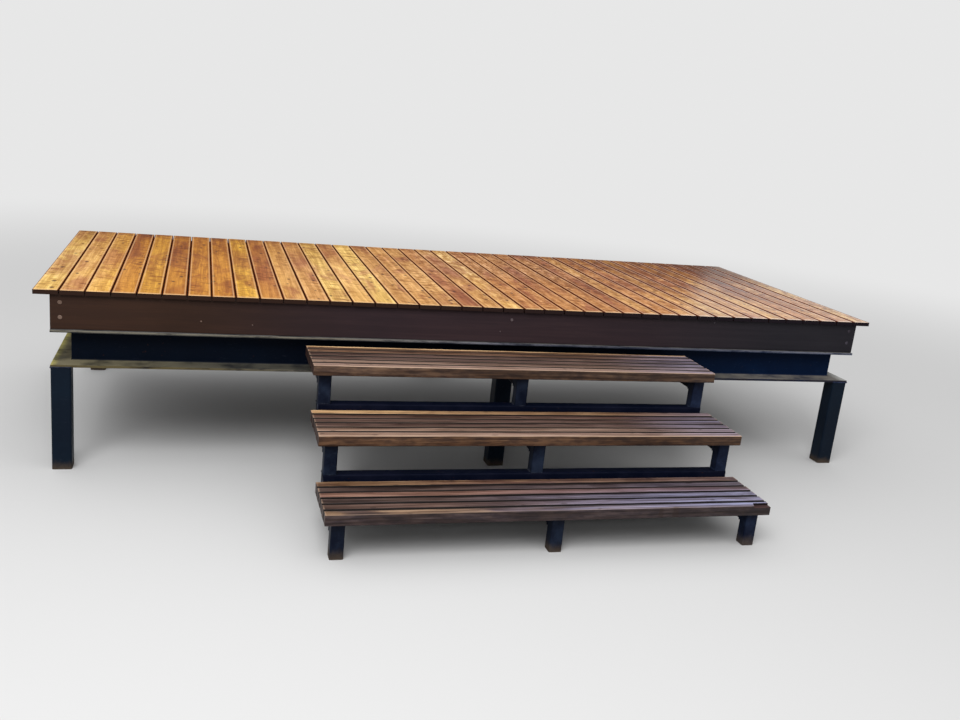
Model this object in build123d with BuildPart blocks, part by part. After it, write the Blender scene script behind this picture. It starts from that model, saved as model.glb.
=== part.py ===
import os

from build123d import *

os.makedirs("parts", exist_ok=True)

# Millimetres. X runs along the deck's front edge, Y towards the wall side, Z up from the ground.
# The origin is on the ground, in the middle of the whole footprint.

# Deck boards
board_count = 40
board_width = 90
board_gap = 4
board_thickness = 19
board_edge_radius = 2
deck_depth = 1490

# Timber joists
joist_height = 140
joist_thickness = 45
joist_edge_chamfer = 2
inner_joist_names = ("front_inner_joist", "middle_inner_joist", "rear_inner_joist")
end_overhang = 18
side_overhang = 58

# Steel channel frame
channel_height = 150
channel_flange = 75
channel_web = 6
channel_flange_thickness = 9.5
channel_root_radius = 10
toe_lead = 13

# Posts
post_size = 75
post_wall = 4
post_corner_radius = 8
post_foot_plate = 8
middle_post_offset = 40

# Flight
tread_names = ("top", "middle", "bottom")
rise = 184
going = 280
top_tread_reach = 320
tread_length = 1733
flight_offset = 22

# Tread slats
slat_count = 6
slat_width = 42
slat_thickness = 42
slat_gap = 8
slat_edge_radius = 3

# Broken corner at the right end of the lowest front slat
chip_length = 78
chip_reach = 24
chip_depth = 7

# Stair frames, in square tube
tube_size = 50
tube_wall = 3
tube_corner_radius = 6
tube_foot_plate = 5
frame_inset = 28
nosing = 30
bar_height = 60
bar_end_plate = 3

# Heights
deck_height = rise * (len(tread_names) + 1)
joist_top = deck_height - board_thickness
channel_top = joist_top - joist_height
channel_bottom = channel_top - channel_height

# Deck outline
board_pitch = board_width + board_gap
deck_width = board_count * board_pitch - board_gap
flight_run = top_tread_reach + going * (len(tread_names) - 1)
deck_back = (deck_depth + flight_run) / 2
deck_front = deck_back - deck_depth
frame_half_length = deck_width / 2 - side_overhang
joist_front = deck_front + end_overhang
joist_back = deck_back - end_overhang
toe_front = joist_front - toe_lead
toe_back = joist_back + toe_lead
web_front = toe_front + channel_flange
web_back = toe_back - channel_flange


def save(piece, name):
    """Labels a finished piece and writes it."""
    piece.part.label = name
    export_step(piece.part, f"parts/{name}.step")


def tube_section(width, height, wall, corner_radius):
    """Hollow section with rounded corners, centred on its own origin."""
    with BuildSketch() as section:
        RectangleRounded(width, height, corner_radius)
        RectangleRounded(width - 2 * wall, height - 2 * wall, corner_radius - wall, mode=Mode.SUBTRACT)
    return section.sketch


# Deck boards, eased along their top edges
panel_names = ("left", "centre_left", "centre_right", "right")
for panel, panel_name in enumerate(panel_names):
    first_board = board_count * panel // len(panel_names)
    next_board = board_count * (panel + 1) // len(panel_names)
    centres = [
        (-deck_width / 2 + board_width / 2 + board * board_pitch, deck_height - board_thickness / 2)
        for board in range(first_board, next_board)
    ]
    with BuildPart() as deck_boards:
        with BuildSketch(Plane.XZ.offset(-deck_back)) as board_ends:
            with Locations(*centres):
                Rectangle(board_width, board_thickness)
            fillet(board_ends.vertices().group_by(Axis.Y)[-1], board_edge_radius)
        extrude(amount=deck_depth)
    save(deck_boards, f"deck_boards_{panel_name}")

# Joists along the deck: the two outer ones run the full length, the inner ones fit between the end joists
inner_joist_span = joist_back - joist_front - joist_thickness
inner_joist_half_length = frame_half_length - joist_thickness
joist_rows = [("front_joist", joist_front, frame_half_length)]
for row, joist_name in enumerate(inner_joist_names):
    row_front = joist_front + inner_joist_span * (row + 1) / (len(inner_joist_names) + 1)
    joist_rows.append((joist_name, row_front, inner_joist_half_length))
joist_rows.append(("rear_joist", joist_back - joist_thickness, frame_half_length))
for joist_name, row_front, half_length in joist_rows:
    with BuildPart() as joist:
        with BuildSketch(Plane.YZ):
            with Locations((row_front, channel_top)):
                Rectangle(joist_thickness, joist_height, align=(Align.MIN, Align.MIN))
        extrude(amount=half_length, both=True)
        chamfer(joist.edges().filter_by(Axis.X), joist_edge_chamfer)
    save(joist, joist_name)

# End joists, between the front and rear joists
for side_name, side in (("left", -1), ("right", 1)):
    with BuildPart() as end_joist:
        with BuildSketch(Plane.XZ.offset(-joist_front - joist_thickness)):
            with Locations((side * (frame_half_length - joist_thickness / 2), channel_top)):
                Rectangle(joist_thickness, joist_height, align=(Align.CENTER, Align.MIN))
        extrude(amount=-(joist_back - joist_front - 2 * joist_thickness))
        chamfer(end_joist.edges().filter_by(Axis.Y), joist_edge_chamfer)
    save(end_joist, f"{side_name}_end_joist")

# Channel section: web on the local Y axis, toes towards local +X, radiused at both roots
with BuildSketch() as channel_section:
    Rectangle(channel_flange, channel_height, align=(Align.MIN, Align.CENTER))
    with Locations((channel_web, 0)):
        Rectangle(
            channel_flange - channel_web,
            channel_height - 2 * channel_flange_thickness,
            align=(Align.MIN, Align.CENTER),
            mode=Mode.SUBTRACT,
        )
    roots = channel_section.vertices().filter_by_position(Axis.X, channel_web / 2, channel_web * 3 / 2)
    fillet(roots, channel_root_radius)

# Channel ring, toes outward, mitred at the corners
channel_mid = (channel_top + channel_bottom) / 2
frame_mid = (toe_front + toe_back) / 2
frame_half_depth = (toe_back - toe_front) / 2
ring_sides = (
    ("front", Vector(0, -1, 0), frame_half_depth, frame_half_length),
    ("rear", Vector(0, 1, 0), frame_half_depth, frame_half_length),
    ("left", Vector(-1, 0, 0), frame_half_length, frame_half_depth),
    ("right", Vector(1, 0, 0), frame_half_length, frame_half_depth),
)
for side_name, outward, toe_distance, half_run in ring_sides:
    ring_centre = Vector(0, frame_mid, channel_mid)
    web_centre = ring_centre + outward * (toe_distance - channel_flange)
    run = outward.cross(Vector(0, 0, 1))
    with BuildPart() as ring_channel:
        with BuildSketch(Plane(origin=web_centre, x_dir=outward, z_dir=run)):
            add(channel_section.sketch)
        extrude(amount=half_run, both=True)
        for end in (-1, 1):
            corner = ring_centre + outward * toe_distance + run * (end * half_run)
            split(bisect_by=Plane(origin=corner, z_dir=run * end - outward), keep=Keep.BOTTOM)
    save(ring_channel, f"{side_name}_channel")

# Middle channel, between the webs of the front and rear channels
with BuildPart() as middle_channel:
    with BuildSketch(Plane.XZ.offset(-web_back)):
        with Locations((middle_post_offset - channel_flange / 2, channel_mid)):
            add(channel_section.sketch)
    extrude(amount=web_back - web_front)
save(middle_channel, "middle_channel")

# Posts, under the flanges of the front and rear channels, closed by a foot plate
post_columns = (
    ("left", -frame_half_length + post_size / 2),
    ("centre", middle_post_offset),
    ("right", frame_half_length - post_size / 2),
)
post_rows = (("front", toe_front + post_size / 2), ("rear", toe_back - post_size / 2))
for row_name, post_y in post_rows:
    for column_name, post_x in post_columns:
        with BuildPart() as post:
            with BuildSketch():
                with Locations((post_x, post_y)):
                    RectangleRounded(post_size, post_size, post_corner_radius)
            extrude(amount=post_foot_plate)
            with BuildSketch(Plane.XY.offset(post_foot_plate)):
                with Locations((post_x, post_y)):
                    add(tube_section(post_size, post_size, post_wall, post_corner_radius))
            extrude(amount=channel_bottom - post_foot_plate)
        save(post, f"{row_name}_{column_name}_post")

# Flight: the place of each tread, and of the leg under its front edge
tread_depth = slat_count * slat_width + (slat_count - 1) * slat_gap
tread_fronts = [deck_front - top_tread_reach - going * step for step in range(len(tread_names))]
tread_undersides = [deck_height - rise * (step + 1) - slat_thickness for step in range(len(tread_names))]
leg_fronts = [tread_front + nosing for tread_front in tread_fronts]
leg_columns = (
    ("left", flight_offset - tread_length / 2 + frame_inset + tube_size / 2),
    ("centre", flight_offset),
    ("right", flight_offset + tread_length / 2 - frame_inset - tube_size / 2),
)

# Treads, each of separate slats with eased long edges
for step, tread_name in enumerate(tread_names):
    slat_centres = [
        (
            tread_fronts[step] + slat_width / 2 + slat * (slat_width + slat_gap),
            tread_undersides[step] + slat_thickness / 2,
        )
        for slat in range(slat_count)
    ]
    with BuildPart() as tread:
        with BuildSketch(Plane.YZ.offset(flight_offset)):
            with Locations(*slat_centres):
                RectangleRounded(slat_width, slat_thickness, slat_edge_radius)
        extrude(amount=tread_length / 2, both=True)
        if step == len(tread_names) - 1:
            chip_corner = (flight_offset + tread_length / 2, tread_fronts[step])
            with BuildSketch(Plane.XY.offset(tread_undersides[step] + slat_thickness)):
                with BuildLine():
                    Polyline(
                        (chip_corner[0] - chip_length, chip_corner[1]),
                        chip_corner,
                        (chip_corner[0], chip_corner[1] + chip_reach),
                        close=True,
                    )
                make_face()
            extrude(amount=-chip_depth, mode=Mode.SUBTRACT)
    save(tread, f"{tread_name}_tread")

# Cross bars, on the rear ends of the middle and bottom bearers
bar_tops = []
for step, bar_name in ((1, "upper_bar"), (2, "lower_bar")):
    bar_tops.append(tread_undersides[step] + bar_height)
    bar_centre = (leg_fronts[step - 1] + tube_size / 2, tread_undersides[step] + bar_height / 2)
    bar_half_length = tread_length / 2 - frame_inset
    with BuildPart() as bar:
        with BuildSketch(Plane.YZ.offset(flight_offset)):
            with Locations(bar_centre):
                add(tube_section(tube_size, bar_height, tube_wall, tube_corner_radius))
        extrude(amount=bar_half_length - bar_end_plate, both=True)
        for end in (-1, 1):
            plate_plane = Plane.YZ.offset(flight_offset + end * (bar_half_length - bar_end_plate))
            with BuildSketch(plate_plane):
                with Locations(bar_centre):
                    RectangleRounded(tube_size, bar_height, tube_corner_radius)
            extrude(amount=end * bar_end_plate)
    save(bar, bar_name)

# Legs stand on the bars, and the lowest ones on the ground; the bearers butt against their backs
leg_bases = bar_tops + [0]
bearer_ends = [web_front - channel_web] + [leg_front + tube_size for leg_front in leg_fronts[:-1]]
for step, tread_name in enumerate(tread_names):
    leg_back = leg_fronts[step] + tube_size
    on_ground = step == len(tread_names) - 1
    for column_name, column_x in leg_columns:
        leg_centre = (column_x, leg_fronts[step] + tube_size / 2)
        with BuildPart() as leg:
            with BuildSketch(Plane.XY.offset(leg_bases[step])):
                with Locations(leg_centre):
                    add(tube_section(tube_size, tube_size, tube_wall, tube_corner_radius))
            extrude(amount=tread_undersides[step] - leg_bases[step])
            if on_ground:
                with BuildSketch():
                    with Locations(leg_centre):
                        RectangleRounded(tube_size, tube_size, tube_corner_radius)
                extrude(amount=tube_foot_plate)
        save(leg, f"{tread_name}_{column_name}_leg")
        with BuildPart() as bearer:
            with BuildSketch(Plane.XZ.offset(-bearer_ends[step])):
                with Locations((column_x, tread_undersides[step] - tube_size / 2)):
                    add(tube_section(tube_size, tube_size, tube_wall, tube_corner_radius))
            extrude(amount=bearer_ends[step] - leg_back)
        save(bearer, f"{tread_name}_{column_name}_bearer")
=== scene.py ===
"""Looks of a raised timber deck and the flight of slatted stairs that it carries.

Each class below holds the sizes of one sub-assembly in metres, builds its meshes and dresses them. Places
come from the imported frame: X runs along the deck's front edge, Y towards the wall side, Z up.
"""
import logging
import math
import random
from collections.abc import Callable, Iterator
from contextlib import contextmanager
from dataclasses import dataclass, field
from enum import Enum

import bmesh
import bpy
from mathutils import Euler, Matrix, Vector


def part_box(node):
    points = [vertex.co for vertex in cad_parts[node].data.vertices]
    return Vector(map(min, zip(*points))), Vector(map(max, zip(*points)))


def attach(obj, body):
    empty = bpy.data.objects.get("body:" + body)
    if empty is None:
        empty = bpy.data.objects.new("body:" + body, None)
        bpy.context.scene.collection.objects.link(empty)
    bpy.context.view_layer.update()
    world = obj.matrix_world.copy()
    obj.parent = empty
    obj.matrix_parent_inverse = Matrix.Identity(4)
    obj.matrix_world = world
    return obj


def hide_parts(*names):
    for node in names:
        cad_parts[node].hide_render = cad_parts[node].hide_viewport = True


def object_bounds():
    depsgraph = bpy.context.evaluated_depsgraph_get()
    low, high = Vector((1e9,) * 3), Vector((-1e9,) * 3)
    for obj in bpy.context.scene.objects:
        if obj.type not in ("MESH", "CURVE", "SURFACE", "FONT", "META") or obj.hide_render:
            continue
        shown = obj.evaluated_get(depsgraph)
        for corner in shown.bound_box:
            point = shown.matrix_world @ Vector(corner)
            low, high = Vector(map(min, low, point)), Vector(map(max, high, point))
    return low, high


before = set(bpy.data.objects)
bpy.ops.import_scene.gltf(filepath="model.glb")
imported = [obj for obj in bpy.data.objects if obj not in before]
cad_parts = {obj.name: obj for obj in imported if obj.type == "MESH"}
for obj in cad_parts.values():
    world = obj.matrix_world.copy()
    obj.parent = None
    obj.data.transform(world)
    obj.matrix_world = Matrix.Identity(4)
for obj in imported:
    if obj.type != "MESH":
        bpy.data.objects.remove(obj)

CAD_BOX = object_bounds()
ROOT = "root"
LEVELS = ("top", "middle", "bottom")
COLUMNS = ("left", "centre", "right")
POSTS = tuple(f"{row}_{column}_post" for row in ("front", "rear") for column in COLUMNS)
WHITE = (1.0, 1.0, 1.0)
SEED_RANGE = 40
SAME_PLACE = 1e-5
ARRISES_TO_END = 3
SMOOTH_UP_TO = 40
log = logging.getLogger("deck_stairs")

Colour = tuple[float, float, float]
Span = tuple[float, float]
Ramp = tuple[float, ...]
Scale = float | tuple[float, float, float]
Socket = bpy.types.NodeSocket
Feed = Socket | float | tuple
Marks = dict[str, Callable[[Vector], float]]


class Axis(Enum):
    """The axis that a stick of timber runs along."""

    X = 0
    Y = 1


class BoardTone(Enum):
    """Display colours of the deck boards."""

    GOLD = (0.87, 0.70, 0.38)
    HONEY = (0.84, 0.635, 0.35)
    AMBER = (0.79, 0.57, 0.32)
    CARAMEL = (0.73, 0.49, 0.27)
    RUSSET = (0.67, 0.43, 0.24)


class SlatTone(Enum):
    """Display colours of the tread slats' tops and fronts."""

    PALE = (0.57, 0.455, 0.40)
    DUN = (0.46, 0.36, 0.315)
    MAUVE = (0.345, 0.255, 0.225)
    EMBER = (0.39, 0.26, 0.19)
    TAWNY = (0.43, 0.29, 0.20)
    CINNAMON = (0.35, 0.22, 0.13)
    BARK = (0.34, 0.235, 0.195)
    ROSE = (0.47, 0.33, 0.29)
    PLUM = (0.31, 0.24, 0.23)
    DUSK = (0.25, 0.195, 0.185)
    OLIVE_BROWN = (0.32, 0.238, 0.188)
    FOXED = (0.335, 0.235, 0.17)
    DAMSON = (0.245, 0.195, 0.195)
    # The colour of the slat sides that face into the gaps is painted shade.
    GAP = (0.09, 0.06, 0.055)


def linear(display: Colour) -> Colour:
    """Turns a display colour into the linear one that a shader takes.

    Args:
        display: Red, green and blue as they show on a screen. A tint may pass 1.

    Returns:
        The same colour in linear light.
    """
    return tuple(c / 12.92 if c <= 0.04045 else ((c + 0.055) / 1.055) ** 2.4 for c in display)


class Tree:
    """A node tree that is being wired, with short ways to add the nodes that the finishes need."""

    def __init__(self, tree: bpy.types.NodeTree) -> None:
        """Takes the tree to wire."""
        self.tree = tree

    def add(self, kind: str, inputs: dict[str | int, Feed] | None = None,
            **settings: object) -> bpy.types.Node:
        """Adds one node.

        Args:
            kind: The node's type name.
            inputs: What feeds its sockets, by name or number: another socket, or a constant.
            settings: The node's own properties.

        Returns:
            The new node.
        """
        node = self.tree.nodes.new(kind)
        for name, value in settings.items():
            setattr(node, name, value)
        for name, value in (inputs or {}).items():
            self.feed(node.inputs[name], value)
        return node

    def feed(self, socket: Socket, value: Feed) -> None:
        """Links a socket, or sets its constant.

        Args:
            socket: The socket to feed.
            value: Another socket, or a constant.
        """
        if isinstance(value, Socket):
            self.tree.links.new(value, socket)
        elif isinstance(value, tuple) and len(value) == 3 and socket.type == "RGBA":
            socket.default_value = (*value, 1.0)
        else:
            socket.default_value = value

    def math(self, operation: str, first: Feed, second: Feed = 0.0, clamp: bool = False) -> Socket:
        """Adds a maths node and returns its result."""
        inputs = {0: first, 1: second}
        return self.add("ShaderNodeMath", inputs, operation=operation, use_clamp=clamp).outputs[0]

    def product(self, *factors: Feed) -> Socket:
        """Multiplies several values.

        Args:
            factors: The values, in order.

        Returns:
            Their product.
        """
        result = factors[0]
        for factor in factors[1:]:
            result = self.math("MULTIPLY", result, factor)
        return result

    def sum(self, *terms: Feed) -> Socket:
        """Adds several values.

        Args:
            terms: The values, in order.

        Returns:
            Their sum.
        """
        result = terms[0]
        for term in terms[1:]:
            result = self.math("ADD", result, term)
        return result

    def inverse(self, value: Feed) -> Socket:
        """Takes a value from 1."""
        return self.math("SUBTRACT", 1.0, value)

    def larger(self, first: Feed, second: Feed) -> Socket:
        """Gives the larger of two values."""
        return self.math("MAXIMUM", first, second)

    def size(self, value: Feed) -> Socket:
        """Drops a value's sign."""
        return self.math("ABSOLUTE", value)

    def stretch(self, vector: Feed, scale: tuple[float, float, float]) -> Socket:
        """Scales a vector along each axis."""
        return self.add("ShaderNodeVectorMath", {0: vector, 1: scale}, operation="MULTIPLY").outputs[0]

    def shift(self, vector: Feed, offset: Feed) -> Socket:
        """Adds two vectors."""
        return self.add("ShaderNodeVectorMath", {0: vector, 1: offset}, operation="ADD").outputs[0]

    def split(self, vector: Feed) -> list[Socket]:
        """Takes a vector apart into X, Y and Z."""
        return list(self.add("ShaderNodeSeparateXYZ", {0: vector}).outputs)

    def join(self, x: Feed, y: Feed, z: Feed) -> Socket:
        """Puts a vector together from X, Y and Z."""
        return self.add("ShaderNodeCombineXYZ", {0: x, 1: y, 2: z}).outputs[0]

    def noise(self, vector: Feed, scale: Scale, detail: float = 2.0, roughness: float = 0.5,
              distortion: float = 0.0) -> bpy.types.Node:
        """Adds a fractal noise.

        Args:
            vector: The point that it reads.
            scale: Its repeats in a metre, one number or one for each axis.
            detail: How many finer layers it has.
            roughness: How strong those are.
            distortion: How far it is bent.

        Returns:
            The noise node.
        """
        if isinstance(scale, tuple):
            vector, scale = self.stretch(vector, scale), 1.0
        inputs = {"Vector": vector, "Scale": scale, "Detail": detail, "Roughness": roughness,
                  "Distortion": distortion}
        return self.add("ShaderNodeTexNoise", inputs)

    def cloud(self, vector: Feed, scale: Scale, **kind: float) -> Socket:
        """Adds a fractal noise and gives its value."""
        return self.noise(vector, scale, **kind).outputs[0]

    def step(self, value: Feed, low: Feed, high: Feed, to_low: Feed = 0.0, to_high: Feed = 1.0) -> Socket:
        """Maps a value smoothly from one range to another, and holds it at the ends."""
        inputs = {"Value": value, "From Min": low, "From Max": high, "To Min": to_low, "To Max": to_high}
        return self.add("ShaderNodeMapRange", inputs, interpolation_type="SMOOTHSTEP").outputs[0]

    def between(self, mask: Feed, without: Feed, full: Feed) -> Socket:
        """Goes smoothly from one value to another as a mask goes from 0 to 1."""
        return self.step(mask, 0.0, 1.0, without, full)

    def blend(self, factor: Feed, first: Feed, second: Feed, how: str = "MIX") -> Socket:
        """Mixes two colours."""
        inputs = {0: factor, 6: first, 7: second}
        return self.add("ShaderNodeMix", inputs, data_type="RGBA", blend_type=how).outputs[2]

    def times(self, colour: Feed, tint: Feed) -> Socket:
        """Multiplies two colours."""
        return self.blend(1.0, colour, tint, "MULTIPLY")

    def tinted(self, colour: Feed, x: Socket, left: Colour, right: Colour) -> Socket:
        """Shifts a colour towards the deck's left end and towards its right end. The tints are painted light,
        warmer at the left and bluer at the right.

        Args:
            colour: The colour.
            x: The point's X.
            left: The display tint at the left end.
            right: The display tint at the right end.

        Returns:
            The tinted colour.
        """
        leftward = self.blend(self.step(x, -0.5, -1.4), WHITE, linear(left))
        rightward = self.blend(self.step(x, 0.2, 1.5), WHITE, linear(right))
        return self.times(self.times(colour, leftward), rightward)

    def deepened(self, colour: Feed, value: Socket, green: float, blue: float) -> Socket:
        """Makes a colour lighter or darker by a value, and by its powers in green and in blue."""
        powers = [self.math("POWER", value, power) for power in (green, blue)]
        return self.times(colour, self.join(value, *powers))

    def mark(self, name: str) -> Socket:
        """Reads a number that stamp wrote on the mesh."""
        return self.add("ShaderNodeAttribute", attribute_name="board_" + name).outputs["Fac"]

    def painted(self, name: str) -> Socket:
        """Reads a colour that stamp wrote on the mesh."""
        return self.add("ShaderNodeAttribute", attribute_name="board_" + name).outputs["Color"]

    def place(self) -> Socket:
        """The point's own place on the object, in metres."""
        return self.add("ShaderNodeTexCoord").outputs["Object"]

    def facing(self) -> list[Socket]:
        """The surface normal's X, Y and Z."""
        return self.split(self.add("ShaderNodeNewGeometry").outputs["Normal"])

    def group(self, tree: bpy.types.ShaderNodeTree, inputs: dict[str, Feed]) -> bpy.types.NodeOutputs:
        """Places a shared effect with this material's own values, and gives what it puts out."""
        return self.add("ShaderNodeGroup", inputs, node_tree=tree).outputs


class Effect:
    """A shared effect: a node group with named sockets."""

    def __init__(self, name: str, inputs: dict[str, str], outputs: tuple[str, ...]) -> None:
        """Makes the group and its sockets.

        Args:
            name: The group's name.
            inputs: Socket names and their kinds, Float or Vector.
            outputs: The names of the values that the effect gives.
        """
        self.group = bpy.data.node_groups.new(name, "ShaderNodeTree")
        sockets = [(socket, "INPUT", kind) for socket, kind in inputs.items()]
        sockets += [(socket, "OUTPUT", "Float") for socket in outputs]
        for socket, way, kind in sockets:
            self.group.interface.new_socket(name=socket, in_out=way, socket_type="NodeSocket" + kind)
        self.tree = Tree(self.group)
        self.given = self.tree.add("NodeGroupInput").outputs
        self.result = self.tree.add("NodeGroupOutput").inputs

    def give(self, results: dict[str, Feed]) -> bpy.types.ShaderNodeTree:
        """Links the effect's outputs.

        Args:
            results: What each output gives, by its name.

        Returns:
            The group.
        """
        for name, value in results.items():
            self.tree.feed(self.result[name], value)
        return self.group


@dataclass(frozen=True)
class Grain:
    """The grain that all the timber shares, with each figure's repeats in a metre along X, Y and Z."""

    sway: tuple[float, float, float] = (3.0, 1.1, 3.0)
    sway_reach: tuple[float, float, float] = (0.05, 0.0, 0.03)
    streaks: tuple[float, float, float] = (62.0, 1.5, 62.0)
    fine: tuple[float, float, float] = (430.0, 9.0, 430.0)
    patches: tuple[float, float, float] = (5.5, 2.0, 5.5)
    ripple: tuple[float, float, float] = (5.0, 15.0, 5.0)
    ripple_breaks: tuple[float, float, float] = (24.0, 6.0, 24.0)
    ripple_slant: float = 0.45
    flecks: tuple[float, float, float] = (13.0, 46.0, 13.0)
    fleck_crowds: tuple[float, float, float] = (6.0, 1.5, 6.0)
    knots: tuple[float, float, float] = (13.0, 7.0, 13.0)
    knot_rims: tuple[float, float, float] = (70.0, 60.0, 70.0)

    def build(self) -> bpy.types.ShaderNodeTree:
        """Builds the grain.

        Returns:
            A group that takes a point with the grain along its Y, and gives streaks, fine lines, patches,
            cross ripple, flecks, knots and height.
        """
        names = ("Streaks", "Fine", "Patches", "Ripple", "Flecks", "Knots", "Height")
        effect = Effect("timber_grain", {"Vector": "Vector", "Seed": "Float"}, names)
        tree, given = effect.tree, effect.given
        seed = given["Seed"]
        own = tree.shift(given["Vector"], tree.join(tree.product(seed, 17.3), tree.product(seed, 5.9), seed))
        sway = tree.noise(own, self.sway, detail=1.0).outputs["Color"]
        bent = tree.shift(own, tree.stretch(tree.shift(sway, (-0.5, -0.5, -0.5)), self.sway_reach))
        streaks = tree.cloud(bent, self.streaks, detail=5.0, roughness=0.62, distortion=0.4)
        streaks = tree.step(streaks, 0.35, 0.65)
        fine = tree.step(tree.cloud(bent, self.fine), 0.35, 0.7)
        patches = tree.cloud(own, self.patches, detail=4.0, roughness=0.62, distortion=0.6)
        x, y, z = tree.split(own)
        slanted = tree.join(x, tree.sum(y, tree.product(x, self.ripple_slant)), z)
        knots = self.knot_mask(tree, own)
        height = tree.sum(tree.product(streaks, 0.35), tree.product(fine, 0.45), tree.product(knots, -0.8))
        values = (streaks, fine, tree.step(patches, 0.48, 0.64), self.ripple_mask(tree, own, slanted),
                  self.fleck_mask(tree, own, slanted), knots, height)
        return effect.give(dict(zip(names, values)))

    def ripple_mask(self, tree: Tree, own: Socket, slanted: Socket) -> Socket:
        """Draws broken lines and soft bands across the grain.

        Args:
            tree: The group's tree.
            own: The point, moved by the piece's own seed.
            slanted: The same, slanted across the grain.

        Returns:
            The mask.
        """
        waves = tree.cloud(slanted, self.ripple, detail=3.0, roughness=0.6, distortion=0.7)
        lines = tree.step(tree.size(tree.math("SUBTRACT", waves, 0.5)), 0.035, 0.0)
        broken = tree.step(tree.cloud(own, self.ripple_breaks, detail=3.0), 0.4, 0.6)
        return tree.sum(tree.product(lines, broken, 0.7), tree.step(waves, 0.54, 0.7, 0.0, 0.5))

    def fleck_mask(self, tree: Tree, own: Socket, slanted: Socket) -> Socket:
        """Draws short flecks that crowd in places.

        Args:
            tree: The group's tree.
            own: The point, moved by the piece's own seed.
            slanted: The same, slanted across the grain.

        Returns:
            The mask.
        """
        curl = tree.cloud(slanted, self.flecks, detail=3.0, roughness=0.6, distortion=0.5)
        crowded = tree.cloud(own, self.fleck_crowds)
        return tree.product(tree.step(curl, 0.50, 0.63), tree.step(crowded, 0.38, 0.60, 0.2, 1.0))

    def knot_mask(self, tree: Tree, own: Socket) -> Socket:
        """Draws scattered knots with ragged rims.

        Args:
            tree: The group's tree.
            own: The point, moved by the piece's own seed.

        Returns:
            The mask.
        """
        cells = tree.add("ShaderNodeTexVoronoi", {"Vector": tree.stretch(own, self.knots), "Scale": 1.0},
                         voronoi_dimensions="2D").outputs
        pick, size, _ = tree.split(cells["Color"])
        ragged = tree.cloud(own, self.knot_rims)
        near = tree.sum(cells["Distance"], tree.product(ragged, 0.12), tree.product(size, 0.06))
        return tree.product(tree.step(near, 0.21, 0.13), tree.step(pick, 0.52, 0.56))


def worn_edges() -> bpy.types.ShaderNodeTree:
    """Builds the pale edges of steel and timber: wear, and on the steel mostly a painted highlight.

    Returns:
        A group that gives a mask of the edges, broken up along their length.
    """
    effect = Effect("worn_edges", {"Vector": "Vector", "Radius": "Float", "Amount": "Float"}, ("Mask",))
    tree, given = effect.tree, effect.given
    rounded = tree.add("ShaderNodeBevel", {"Radius": given["Radius"]}, samples=4).outputs[0]
    flat = tree.add("ShaderNodeNewGeometry").outputs["Normal"]
    turn = tree.add("ShaderNodeVectorMath", {0: rounded, 1: flat}, operation="DOT_PRODUCT").outputs["Value"]
    broken = tree.cloud(given["Vector"], 38.0, detail=4.0, roughness=0.65)
    mask = tree.product(tree.step(turn, 0.995, 0.85), tree.step(broken, 0.42, 0.6), given["Amount"])
    return effect.give({"Mask": mask})


def settled_dust() -> bpy.types.ShaderNodeTree:
    """Builds the dust and grit that settle on what faces up.

    Returns:
        A group that gives a soft mask of dust and a mask of separate grit.
    """
    effect = Effect("settled_dust", {"Vector": "Vector", "Amount": "Float"}, ("Dust", "Grit"))
    tree, given = effect.tree, effect.given
    up = tree.step(tree.facing()[2], 0.35, 0.95)
    film = tree.cloud(given["Vector"], 9.0, detail=5.0, roughness=0.6)
    specks = tree.cloud(given["Vector"], 260.0, detail=3.0, roughness=0.6)
    return effect.give({
        "Dust": tree.product(up, tree.step(film, 0.2, 0.62), given["Amount"]),
        "Grit": tree.product(up, tree.step(specks, 0.6, 0.68), given["Amount"]),
    })


def paint_age() -> bpy.types.ShaderNodeTree:
    """Builds the fading, scuffs and chips of old paint on steel.

    Returns:
        A group that gives masks of faded patches, fine scuffs and chips, and the height of brushed paint.
    """
    names = ("Faded", "Scuffs", "Chips", "Height")
    effect = Effect("paint_age", {"Vector": "Vector", "Amount": "Float"}, names)
    tree, given = effect.tree, effect.given
    point = given["Vector"]
    faded = tree.step(tree.cloud(point, 7.0, detail=6.0, roughness=0.68), 0.4, 0.68)
    rub = tree.cloud(point, (30.0, 30.0, 160.0), detail=4.0, roughness=0.7, distortion=0.8)
    flakes = tree.cloud(point, 55.0, detail=5.0, roughness=0.6)
    brushed = tree.cloud(point, (12.0, 12.0, 12.0), detail=5.0, roughness=0.75)
    masks = [tree.product(mask, given["Amount"])
             for mask in (faded, tree.step(rub, 0.62, 0.74), tree.step(flakes, 0.685, 0.71))]
    return effect.give(dict(zip(names, (*masks, brushed))))


@dataclass(frozen=True)
class Effects:
    """The shared effects, built once."""

    grain: bpy.types.ShaderNodeTree
    edges: bpy.types.ShaderNodeTree
    dust: bpy.types.ShaderNodeTree
    age: bpy.types.ShaderNodeTree


@dataclass(frozen=True)
class Area:
    """A part of the deck that fades in and out along its length and its depth.

    A ramp says where it starts and where it is full, and may add the values at both. The slant turns the
    ramps of the depth by so much of the length.
    """

    along: tuple[Ramp, ...]
    back: tuple[Ramp, ...] = ()
    slant: float = 0.0

    def mask(self, tree: Tree, x: Socket, y: Socket) -> Socket:
        """Masks the area.

        Args:
            tree: The material's tree.
            x: The point's X.
            y: The point's Y.

        Returns:
            The mask.
        """
        depth = tree.sum(y, tree.product(x, self.slant)) if self.slant else y
        steps = [tree.step(x, *ramp) for ramp in self.along]
        return tree.product(*steps, *(tree.step(depth, *ramp) for ramp in self.back))


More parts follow.
